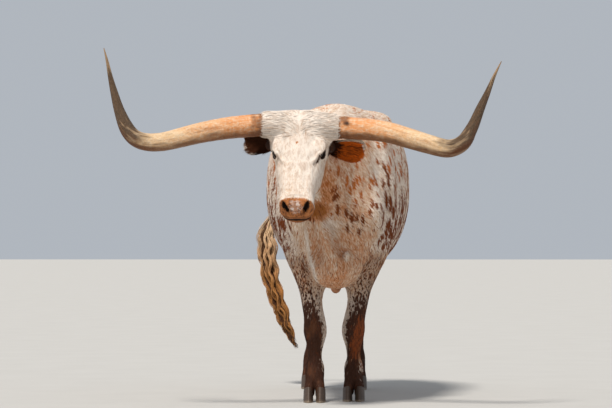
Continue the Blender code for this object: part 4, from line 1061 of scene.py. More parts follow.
def body_marks(points):
    """How dense the speckles are and how rusty the coat is, on trunk and neck, with painted shade under head
    and jaw and a painted highlight on the dewlap.
    """
    x, y, z = points.T

    def near(place, sizes, low, high):
        return 1 - ease(np.linalg.norm((points - place) / sizes, axis=1), low, high)

    low = ease(1.24 - z, 0, 0.42)
    outer = ease(np.abs(x), 0.10, 0.26)
    chest = ease(-0.02 - y, 0, 0.18) * ease(0.92 - z, 0, 0.14) * (1 - 0.7 * outer)
    speckle = 0.74 + 0.28 * low * outer - 0.16 * ease(z, 1.36, 1.46)
    speckle *= (1 - 0.68 * chest) * (1 - 0.25 * on_neck_share(points))
    rust = 0.07 + 0.17 * ease(z, 1.30, 1.46)
    roan = ease(x, -0.07, 0.0) * (1 - ease(x, 0.13, 0.22)) * ease(z, 0.82, 0.92) * (1 - ease(z, 1.24, 1.38))
    rust = np.maximum(rust, 0.49 * roan * ease(-y, -0.32, -0.06))
    breast = ((0.10, -0.25, 0.91), (0.07, 0.25, 0.12))
    rust = np.maximum(rust, 0.46 * near(*breast, 0.2, 1.2))
    speckle = np.maximum(speckle, 0.74 * roan)
    speckle = np.maximum(speckle, 0.72 * near(*breast, 0.6, 1.5))
    belly = ease(0.70 - z, 0, 0.10) * (1 - ease(np.abs(x), 0.08, 0.20))
    front = ease(-0.10 - y, 0, 0.14) * ease(1.00 - z, 0, 0.20) * ease(z, 0.56, 0.66)
    # Belly, chest and the front of the neck turn tan; on chest and neck front this is partly painted shade
    # under the head.
    rust = np.maximum(rust, np.maximum(0.40 * belly, np.maximum(0.54 * chest, 0.46 * front)))
    # Painted highlight: a pale line down the edge of the dewlap, where the coat is less rusty.
    edge = to_path(points[:, [0, 2]], np.array([(-0.155, 0.90), (-0.151, 0.878), (-0.090, 0.578)]))
    rust -= 0.50 * np.exp(-((edge / 0.011) ** 2)) * chest
    # Painted shadow: a tan strip on the neck behind the cheek, where the head's shadow falls.
    rust = np.maximum(rust, 0.72 * near((-0.035, -0.42, 1.06), (0.05, 0.20, 0.12), 0.6, 1.3))
    # The throat: rust-brown, partly its own colour and partly painted shade under the jaw.
    rust = np.maximum(rust, 1.05 * near((-0.090, -0.42, 0.935), (0.085, 0.26, 0.062), 0.3, 1.35))
    rust += (0.22 - rust) * near((0.056, -0.395, 0.716), (0.026, 0.040, 0.036), 0.75, 1.0)
    rust += (0.40 - rust) * on_sheath(points)
    return speckle, rust


def face_marks(points):
    """How rusty the face is, at jaw, chin, muzzle and one spot, and how dark the lines at eyes and chin:
    painted shade by the eyes, partly painted shade at jaw and chin.
    """
    side, down, out = by_head(points)
    # Jaw and chin: rust and brown, partly their own colour and partly painted shade under the head.
    jaw = ease(-out, 0.125, 0.165) * ease(down, 0.14, 0.22)
    chin = ease(down, 0.425, 0.450) * ease(-out, 0.120, 0.132)
    spot = np.hypot((side + 0.008) / 0.8, down - 0.163)
    rust = 0.03 - 0.18 * ease(0.09 - down, 0, 0.05) + 0.85 * (1 - ease(spot, 0.003, 0.009))
    rust = np.maximum(rust, np.maximum(0.85 * jaw, 1.45 * chin))
    rust = np.maximum(rust, 0.9 * ease(down, 0.441 + 2.2 * side**2, 0.447 + 2.2 * side**2))
    on_face = np.stack([np.abs(side), down], 1)
    # Painted shade: a dark line down the furrow below each eye and a fainter one along the fold by its inner
    # corner, darker on the animal's left.
    crease_shade = (0.5 + 0.5 * (side > 0)) * np.exp(-((to_path(on_face, np.array(EYE_CREASE)) / 0.0047) ** 2))
    fold = np.exp(-((to_path(on_face, np.array(EYE_FOLD)) / 0.0042) ** 2))
    lines = np.maximum(0.92 * crease_shade, 0.30 * fold) * (out > -0.09)
    return rust, np.maximum(lines, 0.74 * chin)


def coat_marks(points):
    """How dense the speckles are, how brown the coat is and how rusty, at points of the skin, with painted
    shade in the brown of the head.
    """
    head = on_head_share(points)
    speckle, rust = body_marks(points)
    brown = np.zeros(len(points))
    leg_marks(points, speckle, brown, rust)
    face_rust, lines = face_marks(points)
    speckle *= 1 - head
    rust += (face_rust - rust) * head
    # On the head the brown is painted shade by the eyes and, in part, under the chin and at the ear roots.
    brown += (np.maximum(lines, at_ears(points)) - brown) * head
    return np.stack([speckle, brown, rust], 1)


def skin_look(points):
    """How bare the skin is, how wet and how dark: the dark is painted shade at mouth, nostrils and ear roots,
    and partly on the lids.
    """
    side, down, out = by_head(points)
    head = on_head_share(points)
    edge = 0.4405 + 2.2 * side**2
    pad = ease(down, edge, edge + 0.005) * ease(out, -0.132, -0.126) * head
    shine = np.hypot((side + 0.003) / 0.042, (out + 0.044) / 0.027)
    wet = pad * (1 - ease(shine, 0.35, 1.20)) * ease(down, 0.446, 0.460)
    # Painted shade: dark along the line of the mouth and in a band over the lips round it.
    mouth_shade = np.exp(-(((out + 0.116) / 0.009) ** 2))
    lips = np.maximum(mouth_shade, 0.52 * ease(-out, 0.076, 0.090) * ease(out, -0.132, -0.122))
    bare, dark = pad.copy(), 0.90 * lips * ease(down, 0.420, 0.450) * head
    for sign in SIDES.values():
        eye, gaze, slit, across = eye_frame(sign)
        offset = points - eye
        ring = np.hypot(offset @ slit / 0.0235, offset @ across / 0.0145)
        facing = ease(offset @ gaze, 0.0, 0.01) * (np.linalg.norm(offset, axis=1) < 0.045)
        # The dark rims of the lids, partly their own colour and partly painted shade round the eye.
        rim = (1 - ease(ring, 0.98, 1.20)) * facing
        bare, dark = np.maximum(bare, rim), np.maximum(dark, 0.95 * rim)
        wet = np.maximum(wet, 0.4 * (1 - ease(ring, 0.80, 0.98)) * facing)
        over, along, _ = nostril_axes(sign)
        offset = points - nostril_centre(sign) - along * 0.003
        hole = np.hypot(offset @ over / 0.0125, offset @ along / 0.0310)
        close = np.linalg.norm(offset, axis=1) < 0.06
        # Painted shade: near black inside each nostril and a dark ring round it on the pad.
        dark = np.maximum(dark, (1 - ease(hole, 0.80, 1.10)) * close)
        dark = np.maximum(dark, 0.42 * (1 - ease(hole, 1.1, 2.0)) * close * pad)
    bare = np.maximum(bare, 0.60 * on_sheath(points))
    # Painted shade on the stubs at the ear roots, as dark as the inside of an ear.
    dark = np.maximum(dark, 0.70 * at_ears(points))
    return np.stack([bare, wet, dark], 1)


def hair_way(points, normals):
    """The way the hair lies at each point, along the skin."""
    x, y, z = points.T
    side, down, _ = by_head(points)
    way = np.stack([0.10 * np.sin(7 * y + 3 * z), 0.75 + 0 * x, -0.70 + 0.12 * np.sin(9 * y)], 1)
    way = way + (np.array((0.45, 0.55, -0.75)) - way) * on_neck_share(points)[:, None]
    way = way + (np.array((0, 0.12, -1)) - way) * ease(0.78 - z, 0, 0.14)[:, None]
    below = ease(down, 0.060, 0.110)[:, None]
    spread = np.clip(side / 0.10, -1, 1)[:, None]
    crown = np.array(FACE_SIDE) * (0.8 * np.sign(side)[:, None] + spread) - 0.25 * np.array(FACE_DOWN)
    onward = np.array(FACE_DOWN) + np.array(FACE_SIDE) * 0.45 * spread - np.array(FACE_OUT) * 0.25
    way = way + (crown + (onward - crown) * below - way) * on_head_share(points)[:, None]
    return units(laid(way, normals))


def swung(ways, normals, angles):
    """Turns each way about its normal."""
    return ways * np.cos(angles)[:, None] + np.cross(normals, ways) * np.sin(angles)[:, None]


def scattered(corners, corner_normals, density, draw):
    """Roots spread over triangles, about density of them to a square metre, and the normals there."""
    area = np.linalg.norm(np.cross(corners[:, 1] - corners[:, 0], corners[:, 2] - corners[:, 0]), axis=1) / 2
    counts = np.floor(area * density + draw.random(len(area))).astype(int)
    chosen = np.repeat(np.arange(len(area)), counts)
    a, b = draw.random((2, len(chosen)))
    over = a + b > 1
    a[over], b[over] = 1 - a[over], 1 - b[over]
    shares = np.stack([1 - a - b, a, b], 1)[:, :, None]
    return (corners[chosen] * shares).sum(axis=1), units((corner_normals[chosen] * shares).sum(axis=1))


def add_values(mesh, name, values):
    """Keeps three numbers with each of a mesh's points, for its material to read."""
    attribute = mesh.attributes.new(name, "FLOAT_VECTOR", "POINT")
    attribute.data.foreach_set("vector", np.ascontiguousarray(values, float).ravel())


def quick_mesh(name, points, triangles, patch, normals):
    """A mesh of triangles from arrays, with its map of patches and, where told, its own normals."""
    mesh = bpy.data.meshes.new(name)
    mesh.vertices.add(len(points))
    mesh.vertices.foreach_set("co", (points + np.array(ORIGIN_SHIFT)).astype(np.float32).ravel())
    mesh.loops.add(triangles.size)
    mesh.loops.foreach_set("vertex_index", triangles.astype(np.int32).ravel())
    mesh.polygons.add(len(triangles))
    mesh.polygons.foreach_set("loop_start", np.arange(0, triangles.size, 3, dtype=np.int32))
    layer = mesh.uv_layers.new(name="OFBake")
    layer.data.foreach_set("uv", patch[triangles.ravel()].astype(np.float32).ravel())
    mesh.update(calc_edges=True)
    mesh.shade_smooth()
    if normals is not None:
        mesh.normals_split_custom_set_from_vertices(normals)
    return mesh


def unwrapped(points, middle, axis):
    """Round the axis and along it, from 0 to 1: the skin's own shape laid flat."""
    axis = unit(axis)
    zero = unit(np.cross(axis, (0.3, 0.2, 1) if abs(axis[2]) < 0.8 else (0, 1, 0.1)))
    offset = points - np.array(middle)
    angle = np.arctan2(offset @ np.cross(axis, zero), offset @ zero)
    along = offset @ axis
    along = (along - along.min()) / max(np.ptp(along), 1e-6)
    return np.stack([0.5 + 0.48 * angle / math.pi, 0.02 + 0.96 * along], 1)


def lock_mesh(name, spots, across, up, widths, depths, patches, corners, soft=0.0):
    """Closed tapering locks in one mesh, how far along them each point is, and how many points each has.

    Each lock has a row of middles, from root to tip, with its directions, half width and half depth there.
    Soft is how much of its shading follows the skin below in place of its own roundness.
    """
    count, rings = spots.shape[:2]
    angle = math.tau * (np.arange(corners) / corners) + math.pi / 2
    round_way = across[:, :-1, None] * np.cos(angle)[:, None] + up[:, :-1, None] * np.sin(angle)[:, None]
    wide = (widths[:, :-1, None] * np.cos(angle))[..., None]
    deep = (depths[:, :-1, None] * np.sin(angle))[..., None]
    body = spots[:, :-1, None] + across[:, :-1, None] * wide + up[:, :-1, None] * deep
    points = np.concatenate([body.reshape(count, -1, 3), spots[:, -1:]], 1)
    size = points.shape[1]
    faces = [(0, corner + 1, corner) for corner in range(1, corners - 1)]
    for ring in range(rings - 2):
        for corner in range(corners):
            a, b = ring * corners + corner, ring * corners + (corner + 1) % corners
            faces += [(a, b, b + corners), (a, b + corners, a + corners)]
    last = (rings - 2) * corners
    faces += [(last + corner, last + (corner + 1) % corners, size - 1) for corner in range(corners)]
    triangles = (np.array(faces)[None] + np.arange(count)[:, None, None] * size).reshape(-1, 3)
    shares = np.append(np.repeat(np.arange(rings - 1) / (rings - 1), corners), 1)
    sides = np.append(np.tile(np.cos(angle), rings - 1), 0)
    patch = patches[:, None] + 0.003 * np.stack([sides / 2, shares - 0.5], 1)
    normals = None
    if soft:
        lying = up[:, :-1, None] * soft + round_way * (1 - soft)
        normals = units(np.concatenate([lying.reshape(count, -1, 3), up[:, -1:]], 1).reshape(-1, 3))
    mesh = quick_mesh(name, points.reshape(-1, 3), triangles, patch.reshape(-1, 2), normals)
    return mesh, np.tile(shares, count), size


def tuft_rows(skin, roots, normals, ways, lengths, widths, lift, rings):
    """The middles and half widths of tufts that lie along the skin and stand out by lift at their tips."""
    spots, halves = [], []
    for share in np.linspace(0, 1, rings):
        spot = roots + ways * (lengths * share)[:, None]
        if share and skin is not None:
            spot = spot - normals * np.clip(skin.distance(spot), -0.02, 0.02)[:, None]
        height = lift * lengths * (1.6 * share - 0.7 * share * share) - 0.15 * widths * (1 - share)
        spots.append(spot + normals * height[:, None])
        halves.append(widths * (0.5 + 0.3 * math.sin(math.pi * min(share + 0.2, 1))) * (1 - share**2.5))
    return np.stack(spots, 1), np.stack(halves, 1)


def placed(name, mesh, material, replaced=()):
    """Puts a finished mesh in the scene as a piece of the model."""
    obj = bpy.data.objects.new(name, mesh)
    bpy.context.scene.collection.objects.link(obj)
    obj.data.materials.append(material)
    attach(obj, "root")
    if replaced:
        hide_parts(*replaced)
    return obj


class Value:
    """A number, place or colour that a material works out, open to sums and products."""

    def __init__(self, looks, socket):
        self.looks = looks
        self.socket = socket

    def __add__(self, other):
        return self.looks.math("ADD", self, other)

    def __sub__(self, other):
        return self.looks.math("SUBTRACT", self, other)

    def __rsub__(self, other):
        return self.looks.math("SUBTRACT", other, self)

    def __mul__(self, other):
        return self.looks.math("MULTIPLY", self, other)

    def over(self, threshold, sharpness):
        """0 to 1 as the value passes a threshold."""
        return self.looks.math("MULTIPLY", self - threshold, sharpness, True)

    def stretched(self, *scale):
        return self.looks.node("VectorMath", {0: self, 1: scale}, operation="MULTIPLY")[0]

    def noise(self, scale, detail=2.0, rough=0.5):
        inputs = {"Vector": self, "Scale": scale, "Detail": detail, "Roughness": rough}
        return self.looks.node("TexNoise", inputs)[0]

    def mottled(self, scale, detail=2.0, rough=0.5):
        """Noise spread out to fill 0 to 1, and a little beyond."""
        return self.noise(scale, detail, rough) * 3.0 - 1.0

    def cells(self, scale):
        """The distance to the nearest of many scattered places, and a random number of that place's own."""
        distance, colour, *_ = self.looks.node("TexVoronoi", {"Vector": self, "Scale": scale})
        return distance, colour.parts()[0]

    def parts(self):
        return self.looks.node("SeparateXYZ", {0: self})


class Looks:
    """A material under construction, with short words for its nodes."""

    def __init__(self, name):
        self.material = bpy.data.materials.new(name)
        self.material.use_nodes = True
        self.tree = self.material.node_tree
        self.shader = self.tree.nodes["Principled BSDF"]

    def link(self, value, socket):
        if isinstance(value, Value):
            self.tree.links.new(value.socket, socket)
        elif socket.type == "RGBA":
            socket.default_value = (*value, 1)
        else:
            socket.default_value = value

    def node(self, kind, inputs, **settings):
        """What a new node gives, from values or constants for some of its inputs."""
        node = self.tree.nodes.new("ShaderNode" + kind)
        for key, value in settings.items():
            setattr(node, key, value)
        for socket, value in inputs.items():
            self.link(value, node.inputs[socket])
        return [Value(self, socket) for socket in node.outputs]

    def kept(self, name):
        """What a mesh keeps under this name at its points: its vector, and its three numbers."""
        vector = self.node("Attribute", {}, attribute_name=name)[1]
        return vector, *vector.parts()

    def place(self):
        """Where a point is, in its piece's own coordinates."""
        return self.node("TexCoord", {})[3]

    def math(self, operation, a, b, clamp=False):
        return self.node("Math", {0: a, 1: b}, operation=operation, use_clamp=clamp)[0]

    def mix(self, share, a, b, blend="MIX"):
        """Colour a, and by its share colour b. The node has its colours at sockets 6, 7 and 2."""
        return self.node("Mix", {0: share, 6: a, 7: b}, data_type="RGBA", blend_type=blend)[2]

    def shaded(self, colour, light):
        """A colour made lighter or darker."""
        grey = self.node("CombineColor", {0: light, 1: light, 2: light})[0]
        return self.mix(1.0, colour, grey, "MULTIPLY")

    def bump(self, height, distance, strength):
        bump = self.node("Bump", {"Height": height, "Distance": distance, "Strength": strength})[0]
        self.link(bump, self.shader.inputs["Normal"])

    def done(self, colour, roughness, specular, varnish=0.0, varnish_roughness=0.03):
        finish = {"Base Color": colour, "Roughness": roughness, "Specular IOR Level": specular}
        finish.update({"Coat Weight": varnish, "Coat Roughness": varnish_roughness})
        for name, value in finish.items():
            self.link(value, self.shader.inputs[name])
        return self.material


def coat_colour(looks, place, stray=0.5):
    """The coat's colour from its marks: white with rust and roan hairs, red-brown spots and brown legs.

    Stray is each tuft's own number from 0 to 1, which sets it off from those around it.
    """
    _, speckle, brown, rust = looks.kept("marks")
    height = place.parts()[2]
    leg = 1.0 - height.over(0.70, 6)
    long = place.stretched(1.0, 0.8, 0.42)
    broad = long.mottled(9)
    fine = place.stretched(1.0, 0.8, 0.20).mottled(150)
    tone = rust + fine * 0.25 + broad * 0.20 + stray * 0.56
    colour = looks.mix(tone.over(0.58, 4.0), WHITE, CREAM)
    colour = looks.mix(long.mottled(64, 3, 0.65).over(0.42, 1.9) * 0.62, colour, DULL)
    colour = looks.mix(tone.over(0.89, 4.5), colour, ROAN)
    colour = looks.mix(tone.over(1.21, 3.5), colour, RUST)
    ragged = place.mottled(240)
    loose = ragged * 0.10 + stray * 0.10
    far, own = long.cells(33)
    near, other = place.stretched(1.0, 1.0, 0.70).cells(104)
    large = speckle * 0.74 + own * 0.22 + loose * 0.8 + leg * -0.20 - far
    small = speckle * 0.33 + other * 0.16 + loose + leg * 0.24 - near
    spots = looks.math("MAXIMUM", large.over(0.31, 11), small.over(0.18, 8))
    depth = (height * -1.4 + broad * 0.5 + speckle * 0.6).over(-1.02, 2.2)
    colour = looks.mix(spots, colour, looks.mix(depth, SPECKLE, DARK_SPECKLE))
    # Brown marks darken the coat: brown legs, and on the head painted shade by the eyes and, in part, under
    # the chin and at the ear roots.
    colour = looks.mix(brown.over(0.05, 1.3) * 0.55, colour, BROWN_SHADE)
    dark = looks.mix(long.mottled(24).over(0.66, 3), BROWN, LIGHT_BROWN)
    deep = looks.mix((rust + fine * 0.7 + ragged * 0.5).over(1.10, 1.8), dark, RED_BROWN)
    patchy = brown * 1.30 + other * 0.16 + loose - near
    return looks.mix(patchy.over(0.42, 8), colour, deep)


def skin_material():
    """The coat's colours, with bare flesh, wet on the muzzle with painted highlights, and dark lids, partly
    painted shade, and painted shade at mouth, nostrils and ear roots.
    """
    looks = Looks("skin")
    place = looks.place()
    colour = coat_colour(looks, place)
    _, bare, wet, dark = looks.kept("look")
    rust = looks.kept("marks")[3]
    mottle = place.mottled(130, 3, 0.65)
    patch = place.mottled(42)
    # Where the pad is wet its orange turns pink: partly the skin's own colour, partly a painted sheen.
    pink_and_sheen_share = (wet + patch * 0.50 + mottle * 0.45).over(0.80, 1.5)
    orange = (rust + patch * 0.50 + pink_and_sheen_share * -1.10).over(0.40, 1.7)
    fleshy = looks.mix(orange, PINK_AND_SHEEN, ORANGE)
    fleshy = looks.mix((patch * 0.5 + mottle * -0.7).over(-0.10, 3.5) * 0.75, fleshy, BLOT)
    # Painted highlights: pale glints painted on the wet patch of the muzzle.
    painted_glints = place.stretched(1.0, 1.0, 1.4).mottled(66).over(0.50, 3.0)
    fleshy = looks.mix(painted_glints * wet * 0.80, fleshy, PAINTED_HIGHLIGHT)
    colour = looks.mix(bare.over(0.35, 4), colour, fleshy)
    # Near black where the skin is dark: painted shade at mouth, nostrils and ear roots, and lids partly
    # painted shade.
    colour = looks.mix((dark + mottle * 0.30).over(0.50, 3.0), colour, DARK_SKIN_AND_SHADE)
    pores, _ = place.cells(190)
    looks.bump(place.stretched(1, 1, 0.3).noise(520) * 0.4 + pores * wet * 2.4, 0.0020, 0.9)
    return looks.done(colour, 0.80 - wet * 0.52, 0.25, wet * 0.5, 0.18)


def tuft_material():
    """The coat's tufts take their colour from where each is rooted, and are darker towards the root as
    painted shade.
    """
    looks = Looks("coat")
    root = looks.kept("root")[0]
    _, tone, along, _ = looks.kept("tuft")
    # Each tuft is lighter or darker at random, and darker towards its root as painted shade.
    colour = looks.shaded(coat_colour(looks, root, tone), tone * -0.24 + along * 0.14 + 1.05)
    looks.bump(looks.place().stretched(1, 1, 0.25).noise(900, 1), 0.0004, 0.4)
    return looks.done(colour, 0.82, 0.10)


def coat_piece(name, skin, roots, normals, ways, sizes, rings, axis, material, draw, marks=None):
    """A piece of coat. Sizes are length, width, lift and, where told, how much the length varies.

    Axis is the line that it is unwrapped round.
    """
    length, width, lift, varying = (*sizes, 0.28)[:4]
    lengths = length * draw.uniform(1 - varying, 1 + varying, len(roots))
    widths = width * draw.uniform(0.75, 1.25, len(roots))
    spots, halves = tuft_rows(skin, roots, normals, ways, lengths, widths, lift, rings)
    across = np.repeat(np.cross(normals, ways)[:, None], rings, axis=1)
    up = np.repeat(normals[:, None], rings, axis=1)
    depths, patches = halves * TUFT_FLATNESS, unwrapped(roots, *axis)
    mesh, shares, size = lock_mesh(name, spots, across, up, halves, depths, patches, 3, TUFT_SOFTNESS)
    add_values(mesh, "root", np.repeat(roots + np.array(ORIGIN_SHIFT), size, axis=0))
    add_values(mesh, "marks", np.repeat(coat_marks(roots) if marks is None else marks, size, axis=0))
    tone = np.repeat(draw.random(len(roots)), size)
    add_values(mesh, "tuft", np.stack([tone, shares, 0 * tone], 1))
    return placed(name, mesh, material)


def coat_regions(points):
    """Each piece of the short coat: name, where it is, which sizes it has, and the axis it goes round."""
    x, y, z = points.T
    head, neck = on_head_share(points) > 0.5, on_neck_share(points) > 0.5
    free = ~head & ~neck
    tail = free & (y > 1.49)
    yield "coat_head", head, "head", (on_head(0, 0, -0.12), FACE_DOWN)
    yield "coat_neck", neck & ~head, "neck", ((-0.05, -0.3, 1.0), (0.35, 0.8, 0.1))
    yield "coat_tail", tail, "tail", ((-0.25, 1.57, 1.0), (0, 0, 1))
    free &= ~tail
    for side, sign in SIDES.items():
        here = free & (sign * x > 0)
        fore, hind = here & (z < 0.68) & (y < 0.45), here & (z < 0.74) & (y > 0.80)
        legs = {"foreleg_": (fore, foreleg_rows), "hindleg_": (hind, hindleg_rows)}
        for leg, (mask, rows) in legs.items():
            yield "coat_" + leg + side, mask, "leg", (rows(side)[-4][:3], (0, 0, 1))
        rest = here & ~fore & ~hind
        bands = {"shoulder_": y < 0.32, "barrel_": (y >= 0.32) & (y < 0.88), "rump_": y >= 0.88}
        for band, mask in bands.items():
            yield "coat_" + band + side, rest & mask, "body", ((0, 0.5, 1.05), (0, 1, 0))


def triangles_of(mesh):
    """The corners of a mesh's triangles, and the normals there."""
    mesh.calc_loop_triangles()
    corners = np.empty(len(mesh.loop_triangles) * 3, int)
    mesh.loop_triangles.foreach_get("vertices", corners)
    normals = np.empty(len(mesh.vertices) * 3)
    mesh.vertices.foreach_get("normal", normals)
    corners = corners.reshape(-1, 3)
    return coordinates(mesh)[corners], normals.reshape(-1, 3)[corners]


def make_skin(skin):
    mesh = skin_mesh(skin)
    points = coordinates(mesh)
    add_values(mesh, "marks", coat_marks(points))
    add_values(mesh, "look", skin_look(points))
    mesh.shade_smooth()
    surface = triangles_of(mesh)
    mesh.transform(Matrix.Translation(ORIGIN_SHIFT))
    flesh_nodes = ["torso", "neck", "head", "tail_dock"]
    flesh_nodes += [leg + side for leg in ("foreleg_", "hindleg_") for side in SIDES]
    placed("skin", mesh, skin_material(), flesh_nodes)
    return surface


def make_short_coat(skin, surface, material):
    """Short flat tufts all over, smallest on the face and feet, with none on bare skin."""
    corners, normals = surface
    regions = coat_regions(corners.mean(axis=1))
    for number, (name, mask, region, axis) in enumerate(regions):
        density, sizes = COAT_SIZES[region]
        draw = np.random.default_rng(COAT_SEED + number)
        roots, ups = scattered(corners[mask], normals[mask], density, draw)
        keep = (skin_look(roots)[:, 0] < 0.45) & (roots[:, 2] > HOOF_TOP)
        roots, ups = roots[keep], ups[keep]
        ways = swung(hair_way(roots, ups), ups, draw.normal(0, 0.22, len(roots)))
        coat_piece(name, skin, roots, ups, ways, sizes, 3, axis, material, draw)


def make_poll_hair(skin, surface, material):
    """Longer hair on the crown of the head. It lies outwards over the horns' roots, with ragged ends."""
    corners, normals = surface
    side, forward, up = along_horns(corners.mean(axis=1))
    mask = (np.hypot(forward, up) < 0.095) & (np.abs(side) < 0.165) & (up > -0.060)
    draw = np.random.default_rng(POLL_SEED)
    roots, ups = scattered(corners[mask], normals[mask], POLL_DENSITY, draw)
    side, forward, up = along_horns(roots)
    outer = ease(np.abs(side), 0.098, 0.122)
    thick = 0.25 + 0.75 * ease(np.abs(side) + np.maximum(up, 0), 0.05, 0.12)
    keep = draw.random(len(roots)) < thick * (1 - 0.72 * outer)
    roots, ups, side, outer = roots[keep], ups[keep], side[keep, None], outer[keep]
    outward = np.array(FACE_SIDE) * np.sign(side) * (0.35 + ease(np.abs(side), 0.02, 0.10))
    upward = -np.array(FACE_DOWN) * 0.3 * (1 - ease(np.abs(side), 0.02, 0.09))
    ways = units(laid(outward + upward + draw.normal(0, 0.16, (len(roots), 3)), ups))
    sizes = (0.034 + 0.012 * outer, 0.0024, 0.12, 0.50)
    coat_piece("coat_poll", skin, roots, ups, ways, sizes, 4, (HORN_AXIS, FACE_SIDE), material, draw)


def ring_mesh(name, rings):
    """A tube of quads through rings of points, each end closed by a fan."""
    rings = np.array(rings)
    count, sides = rings.shape[:2]
    points = list(rings.reshape(-1, 3))
    faces = []
    for ring in range(count - 1):
        for step in range(sides):
            a, b = ring * sides + step, ring * sides + (step + 1) % sides
            faces.append((a, b, b + sides, a + sides))
    for ring, order in ((0, -1), (count - 1, 1)):
        points.append(rings[ring].mean(axis=0))
        for step in range(sides):
            pair = (ring * sides + step, ring * sides + (step + 1) % sides)[::order]
            faces.append((*pair, len(points) - 1))
    mesh = bpy.data.meshes.new(name)
    mesh.from_pydata(np.array(points) + np.array(ORIGIN_SHIFT), [], faces)
    mesh.shade_smooth()
    return mesh


def with_caps(values):
    """Values of a ring mesh's points, with one more for the middle of each end."""
    values = values.reshape(-1, 3)
    return np.vstack([values, values[:1], values[-1:]])


def frames_along(path, sideways):
    """Directions across a path at each of its points: sideways, and square to that."""
    along = units(np.gradient(path, axis=0))
    side = units(sideways - along * (along @ sideways)[:, None])
    return side, np.cross(along, side)


def horn_relief(travel, around, draw):
    """How far a horn stands out of its round: rough rings at its root, long ridges and shallow dents."""
    wobble = 0.0035 * np.sin(around + 1.0) + 0.002 * np.sin(2 * around + 17 * travel)
    relief = 0.0012 * np.sin(math.tau * (travel + wobble) / 0.0125) * np.exp(-travel / 0.10)
    relief += 0.0009 * np.sin(math.tau * (travel + 2 * wobble) / 0.047 + 1) * np.exp(-travel / 0.35)
    for waves in (3, 5, 8, 13):
        phase = draw.uniform(0, math.tau) + draw.uniform(-3, 3) * travel
        relief += 0.0011 / waves**0.6 * np.sin(waves * around + phase)
    return relief + 0.0009 * np.sin(21 * travel + 2 * around) * np.sin(13 * travel - around + 2)


def make_horn(side, material):
    """A horn with its rings, ridges and dents and, on the left, a knot."""
    sign = SIDES[side]
    rows = flowing(HORN_ROWS[side], HORN_STEPS)
    path = np.array([by_horns(sign * out, up, forward) for out, up, forward, _ in rows])
    travel = travelled(path)[:, None]
    across, over = frames_along(path, np.array((0, 0, 1.0)))
    around = (math.tau * np.arange(HORN_SIDES) / HORN_SIDES)[None]
    radius = rows[:, 3:4]
    relief = horn_relief(travel, around, np.random.default_rng(HORN_SEED + sign))
    relief = relief * radius / HORN_BASE_RADIUS - 0.0004
    knotty = 0 * relief
    if side == "left":
        knot = ((travel - KNOT_TRAVEL) / 0.011) ** 2 + ((around - KNOT_ANGLE) * radius / 0.008) ** 2
        relief += 0.004 * np.exp(-knot) - 0.0012 * np.exp(-knot / 4)
        knotty = np.exp(-knot / 2)
    outward = across[:, None] * np.cos(around)[..., None] + over[:, None] * np.sin(around)[..., None] * 0.97
    mesh = ring_mesh("horn_" + side, path[:, None] + outward * (radius + relief)[..., None])
    travel = travel + 0 * relief
    grain = np.stack([np.cos(around) + 0 * relief, np.sin(around) + 0 * relief, travel * 1.6 + 3 * sign], -1)
    add_values(mesh, "horn", with_caps(np.stack([travel, outward[..., 2], knotty], -1)))
    add_values(mesh, "grain", with_caps(grain))
    add_values(mesh, "relief", with_caps(np.stack([relief * 400, travel / travel.max(), 0 * travel], -1)))
    placed("horn_" + side + "_shell", mesh, material, ["horn_" + side])


def horn_material():
    """Orange-tan from a dark root, then pale and pitted, dark and scratched past the bend, tan at the tip,
    with painted shade below.
    """
    looks = Looks("horn")
    grain = looks.kept("grain")[0]
    _, travel, upward, knot = looks.kept("horn")
    _, relief, share, _ = looks.kept("relief")
    streak = grain.mottled(5.5, 3, 0.6)
    fine = grain.stretched(1, 1, 0.5).mottled(26, 3, 0.6)
    blotch = grain.stretched(0.5, 0.5, 2.2).mottled(3.6)
    pits = looks.place().mottled(75)
    where = share + blotch * 0.10 + streak * 0.06
    past = where.over(0.545, 7) * (1.0 - where.over(0.95, 6))
    root = 1.0 - (travel + relief * -0.060 + streak * 0.015).over(0.082, 20)
    layers = [
        ((fine * 0.6 + pits * 0.5).over(0.42, 1.8) * 0.72, HORN_PALE),
        ((streak * -0.6 + blotch * -0.4).over(-0.42, 2.5) * 0.40, HORN_STREAK),
        (past * 0.94, looks.mix(fine.over(0.60, 2.2), HORN_DARK, HORN_SCRATCH)),
        (where.over(0.97, 7) * 0.8, HORN_TIP),
        # Painted shade: darker orange-brown on the underside of the horn.
        ((upward * -0.65 + blotch * 0.35).over(0.18, 2.0) * 0.85, HORN_UNDERSIDE_SHADE),
        (root * 0.74, HORN_ROOT),
        (knot, HORN_KNOT),
    ]
    colour = looks.mix(where.over(0.22, 3.5), HORN_ORANGE, HORN_TAN)
    for cover, tint in layers:
        colour = looks.mix(cover, colour, tint)
    looks.bump(fine * 0.35 + pits * 0.60 + looks.place().noise(420, 3, 0.7) * 0.6, 0.0034, 0.9)
    rough = looks.math("MAXIMUM", root, past) * 0.14 + fine * 0.10
    return looks.done(colour, rough + 0.36, 0.30)


def make_eye(side, material):
    """An eyeball with a bulging cornea."""
    eye, gaze, slit, across = eye_frame(SIDES[side])
    angle = np.linspace(0.01, math.pi - 0.01, EYE_RINGS)[::-1, None]
    around = math.tau * np.arange(EYE_SIDES) / EYE_SIDES
    flat = [np.cos(around) * np.sin(angle), np.sin(around) * np.sin(angle)]
    radius = EYE_RADIUS - 0.0006 + 0.0011 * np.exp(-((angle / 0.50) ** 4))
    points = flat[0][..., None] * slit + flat[1][..., None] * across + np.cos(angle)[..., None] * gaze
    mesh = ring_mesh("eye_" + side, eye + radius[..., None] * points)
    add_values(mesh, "eye", with_caps(np.stack([*flat, angle + 0 * around], -1)))
    placed("eye_" + side + "_ball", mesh, material, ["eye_" + side])


